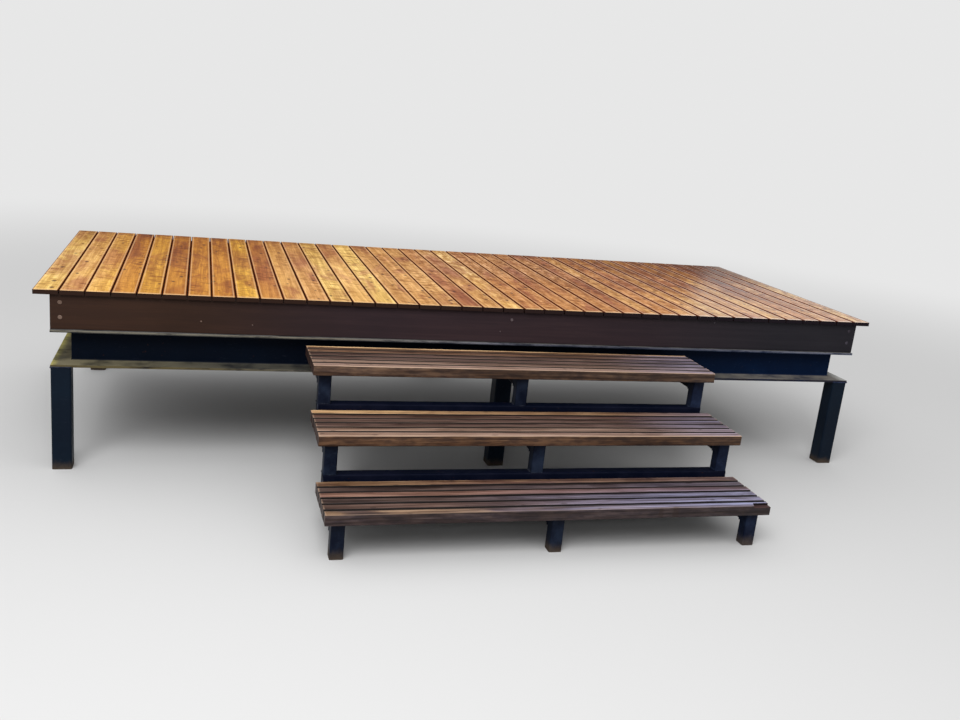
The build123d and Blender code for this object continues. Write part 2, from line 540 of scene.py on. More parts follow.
class DeckArea(Enum):
    """The parts of the deck whose boards are of another tint, and those with painted shade and painted sheen.
    """

    LEFT_END = Area(((-0.8, -1.12), (-1.78, -1.5)))
    RIGHT_END = Area(((1.58, 1.8),))
    REAR_MIDDLE = Area(((-0.3, 0.1), (0.75, 0.5)), ((0.3, 0.55),))
    BRIGHT_MIDDLE = Area(((-0.9, -0.65), (0.15, -0.05)), ((-0.15, 0.1), (0.65, 0.4)))
    REAR_LEFT = Area(((-0.45, -0.65),), ((0.1, 1.1),))
    REAR_RIGHT = Area(((0.0, 0.3),), ((0.5, 1.1),))
    MIDDLE_RIGHT = Area(((-0.1, 0.5),), ((-0.15, 0.3), (0.65, 0.4)))
    RIGHT = Area(((0.7, 1.15), (1.75, 1.45, 0.3, 1.0)), ((0.0, 0.45), (0.75, 0.5)))
    FAR_CORNER = Area(((0.1, 1.75),), ((0.73, 1.0),), slant=0.2)
    FAR_END = Area(((1.45, 1.65),), ((0.5, 1.0),))


@dataclass(frozen=True)
class BoardTimber:
    """Oiled deck board: bright figured face, knots, pale arrises of painted highlight with some wear, dark
    sealed ends, and painted shade and sheen over parts of the deck.
    """

    name: str = "oiled_deck_board"
    sealed_left: Colour = (0.215, 0.15, 0.125)
    sealed_right: Colour = (0.135, 0.11, 0.135)
    knot: Colour = (0.30, 0.16, 0.09)
    # The pale arrises are a painted highlight with some wear; the right-hand colour is whiter as a painted
    # reflection.
    arris_left: Colour = (0.93, 0.76, 0.55)
    arris_right: Colour = (0.96, 0.87, 0.80)
    # The colour of the dark band beside each gap is painted shade, with some dirt.
    grime_and_shade: Colour = (0.40, 0.14, 0.0)
    # The colour of the board sides inside the gaps is painted shade.
    gap: Colour = (0.12, 0.04, 0.01)
    patch_tint: Colour = (0.81, 0.70, 0.76)
    # The bluer tint towards the right is a painted reflection.
    right_tint: Colour = (1.0, 1.0, 1.08)
    patch_depth: float = 0.9
    knot_depth: float = 0.8
    mottle_depth: float = 0.6
    streaks: Span = (0.83, 1.14)
    fine: Span = (0.90, 1.07)
    ripple: Span = (1.06, 0.70)
    flecks: Span = (1.10, 0.56)
    deepening: Span = (1.4, 2.1)
    # The darker rear edge is dirt and painted shade.
    rear_edge_dirt_and_shade: Ramp = (1.06, 1.15, 1.0, 0.72)
    # The next two set the arrises' painted highlight with some wear and the painted highlight along the front
    # end.
    arris_highlight_and_wear: float = 0.5
    front_end_highlight: Ramp = (0.022, 0.008, 0.0, 0.7)
    arris_starts: Span = (0.76, 0.86)
    arris_ends: Span = (0.93, 0.89)
    grime_and_shade_starts: Ramp = (0.895, 0.965, 0.0, 0.95)
    gap_widens: Ramp = (-0.6, 1.0, 0.0, 0.08)
    in_gaps: float = 0.97
    dull: float = 0.68
    glossy: float = 0.36
    gloss_starts: Span = (1.0, 1.2)
    dull_coat: float = 0.1
    coat: float = 0.65
    coat_fades: Ramp = (0.45, 0.9, 1.0, 0.35)
    coat_roughness: float = 0.42
    specular: float = 0.08
    # The tints at the rear middle and at the right end are painted sheen.
    tints: tuple[tuple[DeckArea, Colour], ...] = (
        (DeckArea.LEFT_END, (1.0, 0.97, 0.60)), (DeckArea.REAR_MIDDLE, (1.0, 1.04, 1.15)),
        (DeckArea.RIGHT_END, (1.03, 1.09, 1.18)),
    )
    # These factors are painted light: a brighter painted sheen left of the middle, and painted shade towards
    # the rear, across the right and in the far right corner.
    painted_shade_and_sheen: tuple[tuple[DeckArea, float], ...] = (
        (DeckArea.BRIGHT_MIDDLE, 1.10), (DeckArea.REAR_LEFT, 0.80), (DeckArea.REAR_RIGHT, 0.85),
        (DeckArea.MIDDLE_RIGHT, 0.88), (DeckArea.RIGHT, 0.75), (DeckArea.FAR_CORNER, 0.5),
        (DeckArea.FAR_END, 0.52),
    )

    def material(self, effects: Effects) -> bpy.types.Material:
        """Builds the material.

        Args:
            effects: The shared effects.

        Returns:
            The finished material.
        """
        material, tree, shader = new_material(self.name)
        point = tree.place()
        x, y, _ = tree.split(point)
        seed = tree.mark("seed")
        grain = tree.group(effects.grain, {"Vector": point, "Seed": seed})
        value = self.value(tree, point, seed, grain)
        colour = tree.deepened(self.tone(tree, point, grain), value, *self.deepening)
        colour = tree.blend(tree.product(grain["Knots"], self.knot_depth), colour, linear(self.knot))
        outward = tree.sum(tree.size(tree.mark("across")), tree.step(x, *self.gap_widens))
        # Pale arrises and front end: a painted highlight, with some wear on the arrises.
        colour = tree.blend(self.rim(tree, y, outward), colour, self.arris(tree, x))
        # Dark band beside each gap: painted shade with some dirt.
        grime_and_shade_mask = tree.step(outward, *self.grime_and_shade_starts)
        colour = tree.blend(grime_and_shade_mask, colour, linear(self.grime_and_shade))
        turned = tree.facing()
        up = tree.step(turned[2], 0.25, 0.6)
        # The long sides in the gaps take painted shade; the ends keep their dark seal.
        sealed = tree.blend(tree.step(x, -0.8, 1.3), linear(self.sealed_left), linear(self.sealed_right))
        side = tree.blend(tree.step(tree.size(turned[1]), 0.4, 0.7), linear(self.gap), sealed)
        tree.feed(shader.inputs["Base Color"], tree.blend(up, side, colour))
        oiled = tree.sum(x, tree.product(y, -0.62), tree.product(tree.cloud(point, (1.6, 1.2, 1.6)), 0.1))
        clean = tree.product(up, tree.inverse(grime_and_shade_mask))
        sheen = tree.step(oiled, *self.gloss_starts, self.dull, self.glossy)
        tree.feed(shader.inputs["Roughness"], tree.between(clean, self.in_gaps, sheen))
        coat = tree.step(oiled, *self.gloss_starts, self.dull_coat, self.coat)
        tree.feed(shader.inputs["Coat Weight"], tree.product(clean, coat, tree.step(y, *self.coat_fades)))
        shader.inputs["Coat Roughness"].default_value = self.coat_roughness
        shader.inputs["Specular IOR Level"].default_value = self.specular
        bump(tree, shader, grain["Height"], strength=0.3, distance=0.0005)
        return material

    def tone(self, tree: Tree, point: Socket, grain: bpy.types.NodeOutputs) -> Socket:
        """Gives each board its own tone, browner in patches, and tints the parts of the deck; the bluer tints
        at the rear middle, at the right end and towards the right are painted sheen.

        Args:
            tree: The material's tree.
            point: The point's place.
            grain: What the grain effect gives.

        Returns:
            The colour.
        """
        x, y, _ = tree.split(point)
        tone = tree.painted("tone")
        uneven = tree.step(tree.cloud(point, (16.0, 5.0, 16.0), detail=4.0), 0.3, 0.6, 0.45, 1.0)
        browned = tree.larger(tree.product(grain["Patches"], self.patch_depth),
                              tree.product(tree.mark("browned"), uneven))
        colour = tree.blend(browned, tone, tree.times(tone, linear(self.patch_tint)))
        colour = tree.tinted(colour, x, WHITE, self.right_tint)
        # Tints by part of the deck, with painted sheen at the rear middle and the right end.
        for area, tint in self.tints:
            colour = tree.blend(area.value.mask(tree, x, y), colour, tree.times(colour, linear(tint)))
        return colour

    def value(self, tree: Tree, point: Socket, seed: Socket, grain: bpy.types.NodeOutputs) -> Socket:
        """Works out how light the face is, from its figure, from dirt and painted shade at the rear edge, and
        from the painted shade and sheen over parts of the deck.

        Args:
            tree: The material's tree.
            point: The point's place.
            seed: The board's own number.
            grain: What the grain effect gives.

        Returns:
            The value, 1 where the tone is unchanged.
        """
        x, y, _ = tree.split(point)
        lively = tree.add("ShaderNodeTexWhiteNoise", {"W": seed}, noise_dimensions="1D").outputs["Value"]
        ripple = tree.product(grain["Ripple"], tree.between(lively, 0.45, 1.0),
                              tree.step(x, -1.3, -0.5, 0.5, 1.0))
        own = tree.shift(point, tree.join(seed, tree.product(seed, 3.7), 0.0))
        mottle = tree.cloud(own, (34.0, 12.0, 34.0), detail=4.0, roughness=0.68)
        mottle = tree.product(tree.sum(tree.step(mottle, 0.33, 0.67), -0.5), self.mottle_depth,
                              tree.step(x, -0.7, 0.4, 0.3, 1.0), tree.step(y, -0.1, 0.9, 1.0, 1.5))
        # The rear edge darkens with dirt and painted shade, and the parts of the deck take painted shade and
        # sheen.
        return tree.product(
            tree.between(grain["Streaks"], *self.streaks),
            tree.between(grain["Fine"], *self.fine),
            tree.between(ripple, *self.ripple),
            tree.between(grain["Flecks"], *self.flecks),
            tree.sum(mottle, 1.0),
            tree.step(y, *self.rear_edge_dirt_and_shade),
            *(tree.between(area.value.mask(tree, x, y), 1.0, shade) for area, shade in self.painted_shade_and_sheen),
        )

    def rim(self, tree: Tree, y: Socket, outward: Socket) -> Socket:
        """Masks the pale line along each arris, a painted highlight with some wear, and the painted highlight
        along the front end.

        Args:
            tree: The material's tree.
            y: The point's Y.
            outward: How far the point is from the board's middle, 1 at its sides.

        Returns:
            The mask.
        """
        start, full, *shares = self.front_end_highlight
        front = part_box("deck_boards_left")[0].y
        sides = tree.product(tree.step(outward, *self.arris_starts), tree.step(outward, *self.arris_ends),
                             self.arris_highlight_and_wear)
        return tree.larger(sides, tree.step(y, front + start, front + full, *shares))

    def arris(self, tree: Tree, x: Socket) -> Socket:
        """Gives the colour of the arrises' painted highlight, whiter at the right as a painted reflection."""
        return tree.blend(tree.step(x, 0.2, 1.2), linear(self.arris_left), linear(self.arris_right))


@dataclass(frozen=True)
class SlatTimber:
    """Weathered tread slat: streaked top, browner front, pale arrises of wear and painted highlight, painted
    sheen in places, and dark gaps in painted shade.
    """

    name: str = "weathered_tread_slat"
    weathered: Colour = (0.52, 0.42, 0.37)
    # The silvery colour is a painted reflection of the sky.
    sky_reflection: Colour = (0.54, 0.54, 0.66)
    # The golden colour is a painted sheen.
    gold: Colour = (0.88, 0.71, 0.52)
    # The dark colour beside the gaps is painted shade, with some dirt.
    grime_and_shade: Colour = (0.06, 0.035, 0.03)
    end_grain: Colour = (0.25, 0.165, 0.14)
    knot: Colour = (0.18, 0.12, 0.10)
    # The pale colour of the arrises and ends is a painted highlight, with wear on the arrises.
    arris: Colour = (0.80, 0.68, 0.58)
    weathering: float = 0.28
    sky_reflection_strength: float = 0.85
    knot_depth: float = 0.6
    in_gaps: float = 0.97
    gap_reach: float = 0.25
    front_fades: Ramp = (-0.5, 0.8)
    front_left: Colour = (1.05, 1.05, 1.05)
    front_right: Colour = (0.68, 0.68, 0.68)
    front_flare: Span = (0.62, 1.42)
    front_deepening: Span = (1.0, 0.8)
    streaks: Span = (0.54, 1.46)
    fine: Span = (0.82, 1.10)
    patches: Span = (1.08, 0.78)
    deepening: Span = (1.15, 1.25)
    end_band: Span = (0.008, 0.003)
    # How strongly the eased ends take the painted highlight.
    end_highlight: float = 0.4
    rough: Span = (0.52, 0.40)
    specular: float = 0.26

    def material(self, effects: Effects) -> bpy.types.Material:
        """Builds the material.

        Args:
            effects: The shared effects.

        Returns:
            The finished material.
        """
        material, tree, shader = new_material(self.name)
        point = tree.place()
        x, y, z = tree.split(point)
        along = tree.stretch(tree.join(y, x, z), (1.6, 1.2, 1.6))
        grain = tree.group(effects.grain, {"Vector": along, "Seed": tree.mark("seed")})
        film = tree.cloud(along, (24.0, 2.6, 24.0), detail=5.0, roughness=0.65)
        film = tree.product(tree.step(film, 0.36, 0.62), self.weathering)
        turned = tree.facing()
        up = tree.step(turned[2], 0.4, 0.9)
        colour = tree.blend(up, self.front(tree, x, along), self.top(tree, point, along, film))
        value = tree.product(*(tree.between(grain[name], *span) for name, span in
                               (("Streaks", self.streaks), ("Fine", self.fine), ("Patches", self.patches))))
        colour = tree.deepened(colour, value, *self.deepening)
        colour = tree.blend(tree.step(tree.size(turned[0]), 0.5, 0.8), colour, linear(self.end_grain))
        patchy = tree.step(tree.cloud(along, (20.0, 4.0, 20.0), detail=3.0), 0.3, 0.6, 0.35, 1.0)
        # Painted highlight along the eased ends of the tops.
        worn = tree.product(self.near_end(tree, x), up, patchy, self.end_highlight)
        colour = tree.blend(worn, colour, linear(self.arris))
        colour = tree.blend(tree.product(grain["Knots"], self.knot_depth), colour, linear(self.knot))
        # Dark bands beside the gaps: painted shade with some dirt.
        across, gap_rear = tree.mark("across"), tree.mark("gap_rear")
        at_gap = tree.product(tree.step(across, -0.84, -0.92), tree.mark("gap_front"))
        # Pale front arris of each slat: wear and a painted highlight.
        line = tree.product(tree.step(across, -0.72, -0.82), tree.inverse(at_gap))
        rim = tree.product(line, tree.mark("worn"), patchy, tree.step(turned[2], 0.2, 0.5, 0.0, 0.75))
        colour = tree.blend(rim, colour, linear(self.arris))
        reach = tree.sum(across, tree.product(gap_rear, self.gap_reach), -self.gap_reach)
        behind = tree.product(tree.step(reach, 0.72, 0.84), tree.math("MINIMUM", gap_rear, 1.0))
        dark = tree.product(tree.larger(at_gap, behind), self.in_gaps)
        tree.feed(shader.inputs["Base Color"], tree.blend(dark, colour, linear(self.grime_and_shade)))
        rough = tree.sum(tree.between(grain["Streaks"], *self.rough), tree.product(film, 0.25))
        tree.feed(shader.inputs["Roughness"], rough)
        shader.inputs["Specular IOR Level"].default_value = self.specular
        bump(tree, shader, grain["Height"], strength=0.6, distance=0.0009)
        return material

    def top(self, tree: Tree, point: Socket, along: Socket, film: Socket) -> Socket:
        """Colours the walked-on face: its own tone, weathered, with a painted reflection of the sky at the
        low right and a golden painted sheen in places.

        Args:
            tree: The material's tree.
            point: The point's place.
            along: The same, with the grain along its Y.
            film: The mask of the weathered film.

        Returns:
            The colour.
        """
        x, y, z = tree.split(point)
        # Painted reflection of the sky, low at the front right and along the right.
        low = tree.product(tree.step(x, -0.5, 0.8), tree.step(z, 0.42, 0.15),
                           tree.step(y, -0.95, -1.13, 0.2, 1.0))
        right = tree.product(tree.step(x, 0.35, 0.85, 0.0, 0.5), tree.step(z, 0.15, 0.42, 0.4, 1.0))
        colour = tree.blend(film, tree.painted("tone"), linear(self.weathered))
        sky_reflection_mask = tree.product(tree.larger(low, right), self.sky_reflection_strength)
        colour = tree.blend(sky_reflection_mask, colour, linear(self.sky_reflection))
        # Golden painted sheen, most at the left end.
        golden_sheen_patches = tree.cloud(along, (9.0, 3.6, 9.0), detail=4.0, roughness=0.6)
        strip = tree.larger(tree.inverse(tree.mark("gold_strip")), tree.step(tree.mark("across"), 0.0, 0.35))
        golden = tree.product(tree.mark("gold"), strip,
                              tree.step(golden_sheen_patches, 0.40, 0.58, tree.mark("gold_even"), 1.0))
        return tree.blend(golden, colour, linear(self.gold))

    def front(self, tree: Tree, x: Socket, along: Socket) -> Socket:
        """Colours the upright faces, which are darker to the right and flare up along the grain.

        Args:
            tree: The material's tree.
            x: The point's X.
            along: The point's place, with the grain along its Y.

        Returns:
            The colour.
        """
        # The fronts grow darker towards the right.
        fading = tree.blend(tree.step(x, *self.front_fades), self.front_left, self.front_right)
        flare = tree.cloud(along, (40.0, 12.0, 40.0), detail=3.0, roughness=0.6)
        flare = tree.step(flare, 0.34, 0.66, *self.front_flare)
        return tree.deepened(tree.times(tree.painted("side"), fading), flare, *self.front_deepening)

    def near_end(self, tree: Tree, x: Socket) -> Socket:
        """Masks the eased ends of the slats.

        Args:
            tree: The material's tree.
            x: The point's X.

        Returns:
            The mask.
        """
        left, right = [edge.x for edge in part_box("top_tread")]
        start, full = self.end_band
        return tree.larger(tree.step(x, left + start, left + full), tree.step(x, right - start, right - full))


@dataclass(frozen=True)
class TornTimber:
    """Bare fibres where the lowest front slat has broken, with painted shade on the notch's upright faces."""

    name: str = "torn_slat_timber"
    fibre: Colour = (0.32, 0.22, 0.215)
    shade: Colour = (0.17, 0.10, 0.105)
    # The notch's upright faces take this colour as painted shade.
    wall: Colour = (0.09, 0.05, 0.06)
    seed: float = 3.0
    roughness: float = 0.7
    specular: float = 0.25

    def material(self, effects: Effects) -> bpy.types.Material:
        """Builds the material.

        Args:
            effects: The shared effects.

        Returns:
            The finished material.
        """
        material, tree, shader = new_material(self.name)
        x, y, z = tree.split(tree.place())
        grain = tree.group(effects.grain, {"Vector": tree.join(y, x, z), "Seed": self.seed})
        colour = tree.blend(grain["Fine"], linear(self.shade), linear(self.fibre))
        # Upright faces of the notch darken as painted shade.
        upright = tree.step(tree.facing()[2], 0.7, 0.4)
        tree.feed(shader.inputs["Base Color"], tree.blend(upright, colour, linear(self.wall)))
        shader.inputs["Roughness"].default_value = self.roughness
        shader.inputs["Specular IOR Level"].default_value = self.specular
        bump(tree, shader, grain["Height"], strength=1.0, distance=0.0015)
        return material


@dataclass(frozen=True)
class StainedTimber:
    """Joist in dark brown stain, or sawn and bare, with its grain along one axis."""

    name: str
    base: Colour
    light: Colour
    dark: Colour
    roughness: float
    grain_along: Axis
    dust: Colour = (0.45, 0.40, 0.34)
    dustiness: float = 0.25
    edge_radius: float = 0.002
    edge_wear_and_highlight: float = 0.35
    # These tints are painted light: warmer at the left end, bluer and darker at the right.
    left_tint: Colour = WHITE
    right_tint: Colour = WHITE
    seed: float = 8.0
    specular: float = 0.2
    roughness_spread: float = 0.15

    def material(self, effects: Effects) -> bpy.types.Material:
        """Builds the material.

        Args:
            effects: The shared effects.

        Returns:
            The finished material.
        """
        material, tree, shader = new_material(self.name)
        point = tree.place()
        x, y, z = tree.split(point)
        along = point if self.grain_along is Axis.Y else tree.join(y, x, z)
        grain = tree.group(effects.grain, {"Vector": along, "Seed": self.seed})
        cloud = tree.cloud(point, (1.6, 1.6, 5.0), detail=4.0, roughness=0.6)
        streaks = tree.step(grain["Streaks"], 0.2, 1.0, 0.0, 0.55)
        colour = tree.blend(streaks, linear(self.base), linear(self.light))
        for share in (tree.step(cloud, 0.45, 0.75, 0.0, 0.6), tree.product(grain["Knots"], 0.3)):
            colour = tree.blend(share, colour, linear(self.dark))
        colour = tree.tinted(colour, x, self.left_tint, self.right_tint)
        dust = tree.group(effects.dust, {"Vector": point, "Amount": self.dustiness})["Dust"]
        worn = {"Vector": along, "Radius": self.edge_radius, "Amount": self.edge_wear_and_highlight}
        edges = tree.product(tree.group(effects.edges, worn)["Mask"], 0.5)
        colour = tree.blend(tree.math("ADD", dust, edges, clamp=True), colour, linear(self.dust))
        tree.feed(shader.inputs["Base Color"], colour)
        rough = tree.step(cloud, 0.3, 0.7, self.roughness, self.roughness + self.roughness_spread)
        tree.feed(shader.inputs["Roughness"], rough)
        shader.inputs["Specular IOR Level"].default_value = self.specular
        bump(tree, shader, grain["Height"], strength=0.3, distance=0.0005)
        return material


@dataclass(frozen=True)
class SteelPaint:
    """Blue-black paint on steel, faded, scuffed and dusty."""

    name: str
    base: Colour
    faded: Colour
    fading: float
    dustiness: float
    soil_height: float
    specular: float = 0.1
    toe_line: bool = False
    edge_radius: float = 0.0025
    # On the steel, the pale edges are mostly a painted highlight.
    edge_wear_and_highlight: float = 0.32
    # This tint is painted light: the paint turns bluer towards the right.
    right_tint: Colour = WHITE
    bare: Colour = (0.38, 0.40, 0.46)
    # The lichen at the left end is made paler as painted light.
    lichen_and_painted_light: Colour = (0.80, 0.76, 0.46)
    moss: Colour = (0.52, 0.49, 0.39)
    sheltered: Colour = (0.44, 0.43, 0.42)
    grime_and_shade: Colour = (0.36, 0.35, 0.31)
    dust: Colour = (0.53, 0.51, 0.48)
    grit: Colour = (0.78, 0.78, 0.76)
    soil: Colour = (0.36, 0.31, 0.26)
    rust: Colour = (0.26, 0.16, 0.11)
    # The pale line along the upper flanges' toes is a painted highlight, bluer to the right.
    toe_left: Colour = (0.53, 0.51, 0.46)
    toe_lichen: Colour = (0.50, 0.45, 0.31)
    toe_right: Colour = (0.49, 0.50, 0.56)
    toe_muddy: Colour = (0.22, 0.19, 0.18)
    toe_skin: float = 0.0012
    toe_band: Span = (0.0075, 0.0045)

    def material(self, effects: Effects) -> bpy.types.Material:
        """Builds the material.

        Args:
            effects: The shared effects.

        Returns:
            The finished material.
        """
        material, tree, shader = new_material(self.name)
        point = tree.place()
        x, _, z = tree.split(point)
        age = tree.group(effects.age, {"Vector": point, "Amount": 1.0})
        worn = {"Vector": point, "Radius": self.edge_radius, "Amount": self.edge_wear_and_highlight}
        settled = tree.group(effects.dust, {"Vector": point, "Amount": self.dustiness})
        splash = tree.cloud(point, (22.0, 22.0, 16.0), detail=5.0, roughness=0.7)
        lift = tree.product(tree.math("SUBTRACT", splash, 0.5), self.soil_height, 1.4)
        soiled = tree.step(tree.math("SUBTRACT", z, lift), self.soil_height, 0.0, 0.0, 0.75)
        colour = linear(self.base)
        for share, layer in (
            (tree.product(age["Faded"], self.fading), self.faded),
            (tree.product(age["Scuffs"], self.fading, 0.3), self.bare),
            (tree.product(age["Chips"], 0.5), self.rust),
            # Pale edges: wear, and on the steel mostly a painted highlight.
            (tree.group(effects.edges, worn)["Mask"], self.bare),
            (soiled, self.soil),
        ):
            colour = tree.blend(share, colour, linear(layer))
        colour = tree.tinted(colour, x, WHITE, self.right_tint)
        # Pale toes: a painted highlight on the upper flanges, pale dust on the lower ones.
        if self.toe_line:
            colour = tree.blend(self.toe_mask(tree, point), colour, self.toe(tree, x, z))
        colour = tree.blend(settled["Dust"], colour, self.cover(tree, x, z))
        colour = tree.blend(tree.product(settled["Grit"], 0.5), colour, linear(self.rust))
        tree.feed(shader.inputs["Base Color"], colour)
        dull = tree.product(tree.math("ADD", settled["Dust"], soiled, clamp=True), 0.4)
        rough = tree.math("ADD", tree.between(age["Faded"], 0.45, 0.6), dull, clamp=True)
        tree.feed(shader.inputs["Roughness"], rough)
        shader.inputs["Specular IOR Level"].default_value = self.specular
        height = tree.sum(tree.product(age["Height"], 0.5), tree.product(age["Chips"], -0.3),
                          tree.product(settled["Grit"], 0.8))
        bump(tree, shader, height, strength=0.3, distance=0.0006)
        return material

    def cover(self, tree: Tree, x: Socket, z: Socket) -> Socket:
        """Gives the colour of what has settled: lichen at the left end, made paler there as painted light,
        then moss, dirt, dust and pale grit.

        Args:
            tree: The material's tree.
            x: The point's X.
            z: The point's Z.

        Returns:
            The colour, which is plain dust on the sheltered upper flanges.
        """
        colour = linear(self.lichen_and_painted_light)
        for start, full, layer in ((-1.82, -1.79, self.moss), (-1.7, -1.1, self.grime_and_shade), (0.9, 1.3, self.dust),
                                   (1.76, 1.82, self.grit)):
            colour = tree.blend(tree.step(x, start, full), colour, linear(layer))
        return tree.blend(self.upper_half(tree, z), colour, linear(self.sheltered))

    def toe(self, tree: Tree, x: Socket, z: Socket) -> Socket:
        """Gives the colour of the flanges' toes, with lichen low at the left and mud low at the right.

        Args:
            tree: The material's tree.
            x: The point's X.
            z: The point's Z.

        Returns:
            The colour.
        """
        lower = tree.inverse(self.upper_half(tree, z))
        colour = tree.blend(tree.step(x, -0.9, 0.2), linear(self.toe_left), linear(self.toe_right))
        for start, full, layer in ((-0.7, -1.4, self.toe_lichen), (0.2, 0.9, self.toe_muddy)):
            colour = tree.blend(tree.product(lower, tree.step(x, start, full)), colour, linear(layer))
        return colour

    def upper_half(self, tree: Tree, z: Socket) -> Socket:
        """Masks the channels' upper flanges, which the joists shelter."""
        low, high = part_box("front_channel")
        return tree.step(z, (low.z + high.z) / 2, high.z - 0.02)

    def toe_mask(self, tree: Tree, point: Socket) -> Socket:
        """Masks the toes of the channel flanges: on the upper flanges a thin pale line that is a painted
        highlight, on the lower ones pale dust.

        Args:
            tree: The material's tree.
            point: The point's place.

        Returns:
            The mask.
        """
        x, y, z = tree.split(point)
        low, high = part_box("front_channel")
        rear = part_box("rear_channel")[1].y
        toe = tree.larger(
            tree.larger(tree.math("LESS_THAN", y, low.y + self.toe_skin),
                        tree.math("GREATER_THAN", y, rear - self.toe_skin)),
            tree.math("GREATER_THAN", tree.size(x), high.x - self.toe_skin),
        )
        patchy = tree.cloud(point, (6.0, 6.0, 40.0), detail=5.0, roughness=0.75)
        patchy = tree.step(patchy, 0.36, 0.56, 0.2, 1.0)
        upper = self.upper_half(tree, z)
        bright = tree.larger(tree.step(x, 0.35, 0.1), tree.step(x, 0.95, 1.2))
        start, full = self.toe_band
        line = tree.product(tree.step(z, high.z - start, high.z - full, 0.25, 1.0),
                            tree.between(bright, 0.55, 1.0))
        strength = tree.sum(tree.product(upper, line), tree.product(tree.inverse(upper), 0.65))
        return tree.product(toe, patchy, strength)


@dataclass(frozen=True)
class Filler:
    """Pale filler over the screw heads."""

    name: str = "screw_filler"
    pale: Colour = (0.46, 0.41, 0.42)
    stained: Colour = (0.28, 0.22, 0.22)
    staining: float = 0.6
    # These tints are painted light: paler and warmer at the left, darker and bluer at the right.
    left_tint: Colour = (1.25, 1.18, 1.03)
    right_tint: Colour = (0.72, 0.76, 0.84)
    roughness: float = 0.7
    specular: float = 0.2

    def material(self, effects: Effects) -> bpy.types.Material:
        """Builds the material.

        Args:
            effects: The shared effects.

        Returns:
            The finished material.
        """
        material, tree, shader = new_material(self.name)
        point = tree.place()
        age = tree.group(effects.age, {"Vector": point, "Amount": self.staining})
        colour = tree.blend(age["Faded"], linear(self.pale), linear(self.stained))
        colour = tree.tinted(colour, tree.split(point)[0], self.left_tint, self.right_tint)
        tree.feed(shader.inputs["Base Color"], colour)
        shader.inputs["Roughness"].default_value = self.roughness
        shader.inputs["Specular IOR Level"].default_value = self.specular
        return material


def new_material(name: str) -> tuple[bpy.types.Material, Tree, bpy.types.Node]:
    """Makes an empty material.

    Args:
        name: Its name.

    Returns:
        The material, its tree and its Principled shader, already linked to the output.
    """
    material = bpy.data.materials.new(name)
    material.use_nodes = True
    material.node_tree.nodes.clear()
    tree = Tree(material.node_tree)
    shader = tree.add("ShaderNodeBsdfPrincipled")
    tree.add("ShaderNodeOutputMaterial", {"Surface": shader.outputs[0]})
    return material, tree, shader


def bump(tree: Tree, shader: bpy.types.Node, height: Socket, strength: float, distance: float) -> None:
    """Raises a surface by a height.

    Args:
        tree: The material's tree.
        shader: Its Principled shader.
        height: The height, about 0 to 1.
        strength: How strongly it shows.
        distance: What a height of 1 stands for, in metres.
    """
    node = tree.add("ShaderNodeBump", {"Height": height, "Strength": strength, "Distance": distance})
    tree.feed(shader.inputs["Normal"], node.outputs[0])


def pick_only(piece: bpy.types.Object) -> None:
    """Selects one object and makes it active.

    Args:
        piece: The object.
    """
    bpy.ops.object.select_all(action="DESELECT")
    piece.select_set(True)
    bpy.context.view_layer.objects.active = piece


@contextmanager
def editing(piece: bpy.types.Object) -> Iterator[None]:
    """Opens a piece in edit mode with nothing selected, and closes it again.

    Args:
        piece: The piece.
    """
    pick_only(piece)
    bpy.ops.object.mode_set(mode="EDIT")
    bpy.ops.mesh.select_mode(type="EDGE")
    bpy.ops.mesh.select_all(action="DESELECT")
    yield
    bpy.ops.object.mode_set(mode="OBJECT")


def pick_edges(piece: bpy.types.Object, wanted: Callable[[Vector, Vector], bool]) -> None:
    """Selects the edges of a piece in edit mode whose two ends pass a test.

    Args:
        piece: The piece that is open.
        wanted: The test, given both ends.
    """
    bpy.ops.mesh.select_all(action="DESELECT")
    mesh = bmesh.from_edit_mesh(piece.data)
    for edge in mesh.edges:
        if wanted(edge.verts[0].co, edge.verts[1].co):
            edge.select_set(True)
    bmesh.update_edit_mesh(piece.data)


def start_block(name: str, low: Vector, high: Vector) -> bpy.types.Object:
    """Adds a block that fills a box, with its place in its mesh.

    Args:
        name: The piece's name.
        low: The box's lowest corner.
        high: Its highest corner.

    Returns:
        The block.
    """
    bpy.ops.object.select_all(action="DESELECT")
    bpy.ops.mesh.primitive_cube_add(size=1, location=(low + high) / 2)
    piece = bpy.context.object
    piece.name = name
    piece.scale = high - low
    bpy.ops.object.transform_apply(location=True, rotation=True, scale=True)
    return piece


def shape_stick(name: str, low: Vector, high: Vector, axis: Axis, arris: float,
                cuts: int) -> bpy.types.Object:
    """Models one planed stick: a block with rounded long edges, eased ends and rings along its length.

    Args:
        name: The piece's name.
        low: Lowest corner.
        high: Highest corner.
        axis: The axis that it runs along.
        arris: Radius of its long edges.
        cuts: How many rings divide its length.

    Returns:
        The stick.
    """
    stick = start_block(name, low, high)
    run = axis.value

    def runs_along(a: Vector, b: Vector) -> bool:
        """Whether an edge runs from end to end."""
        return abs(a[run] - b[run]) > 0.5 * (high[run] - low[run])

    def at_an_end(a: Vector, b: Vector) -> bool:
        """Whether an edge lies round an end face."""
        return any(abs(a[run] - end[run]) + abs(b[run] - end[run]) < SAME_PLACE for end in (low, high))

    with editing(stick):
        pick_edges(stick, runs_along)
        bpy.ops.mesh.bevel(offset=arris, segments=3, profile=0.5, affect="EDGES")
        pick_edges(stick, at_an_end)
        bpy.ops.mesh.bevel(offset=arris / ARRISES_TO_END, segments=1, profile=0.5, affect="EDGES")
        pick_edges(stick, runs_along)
        bpy.ops.mesh.subdivide(number_cuts=cuts)
    return stick


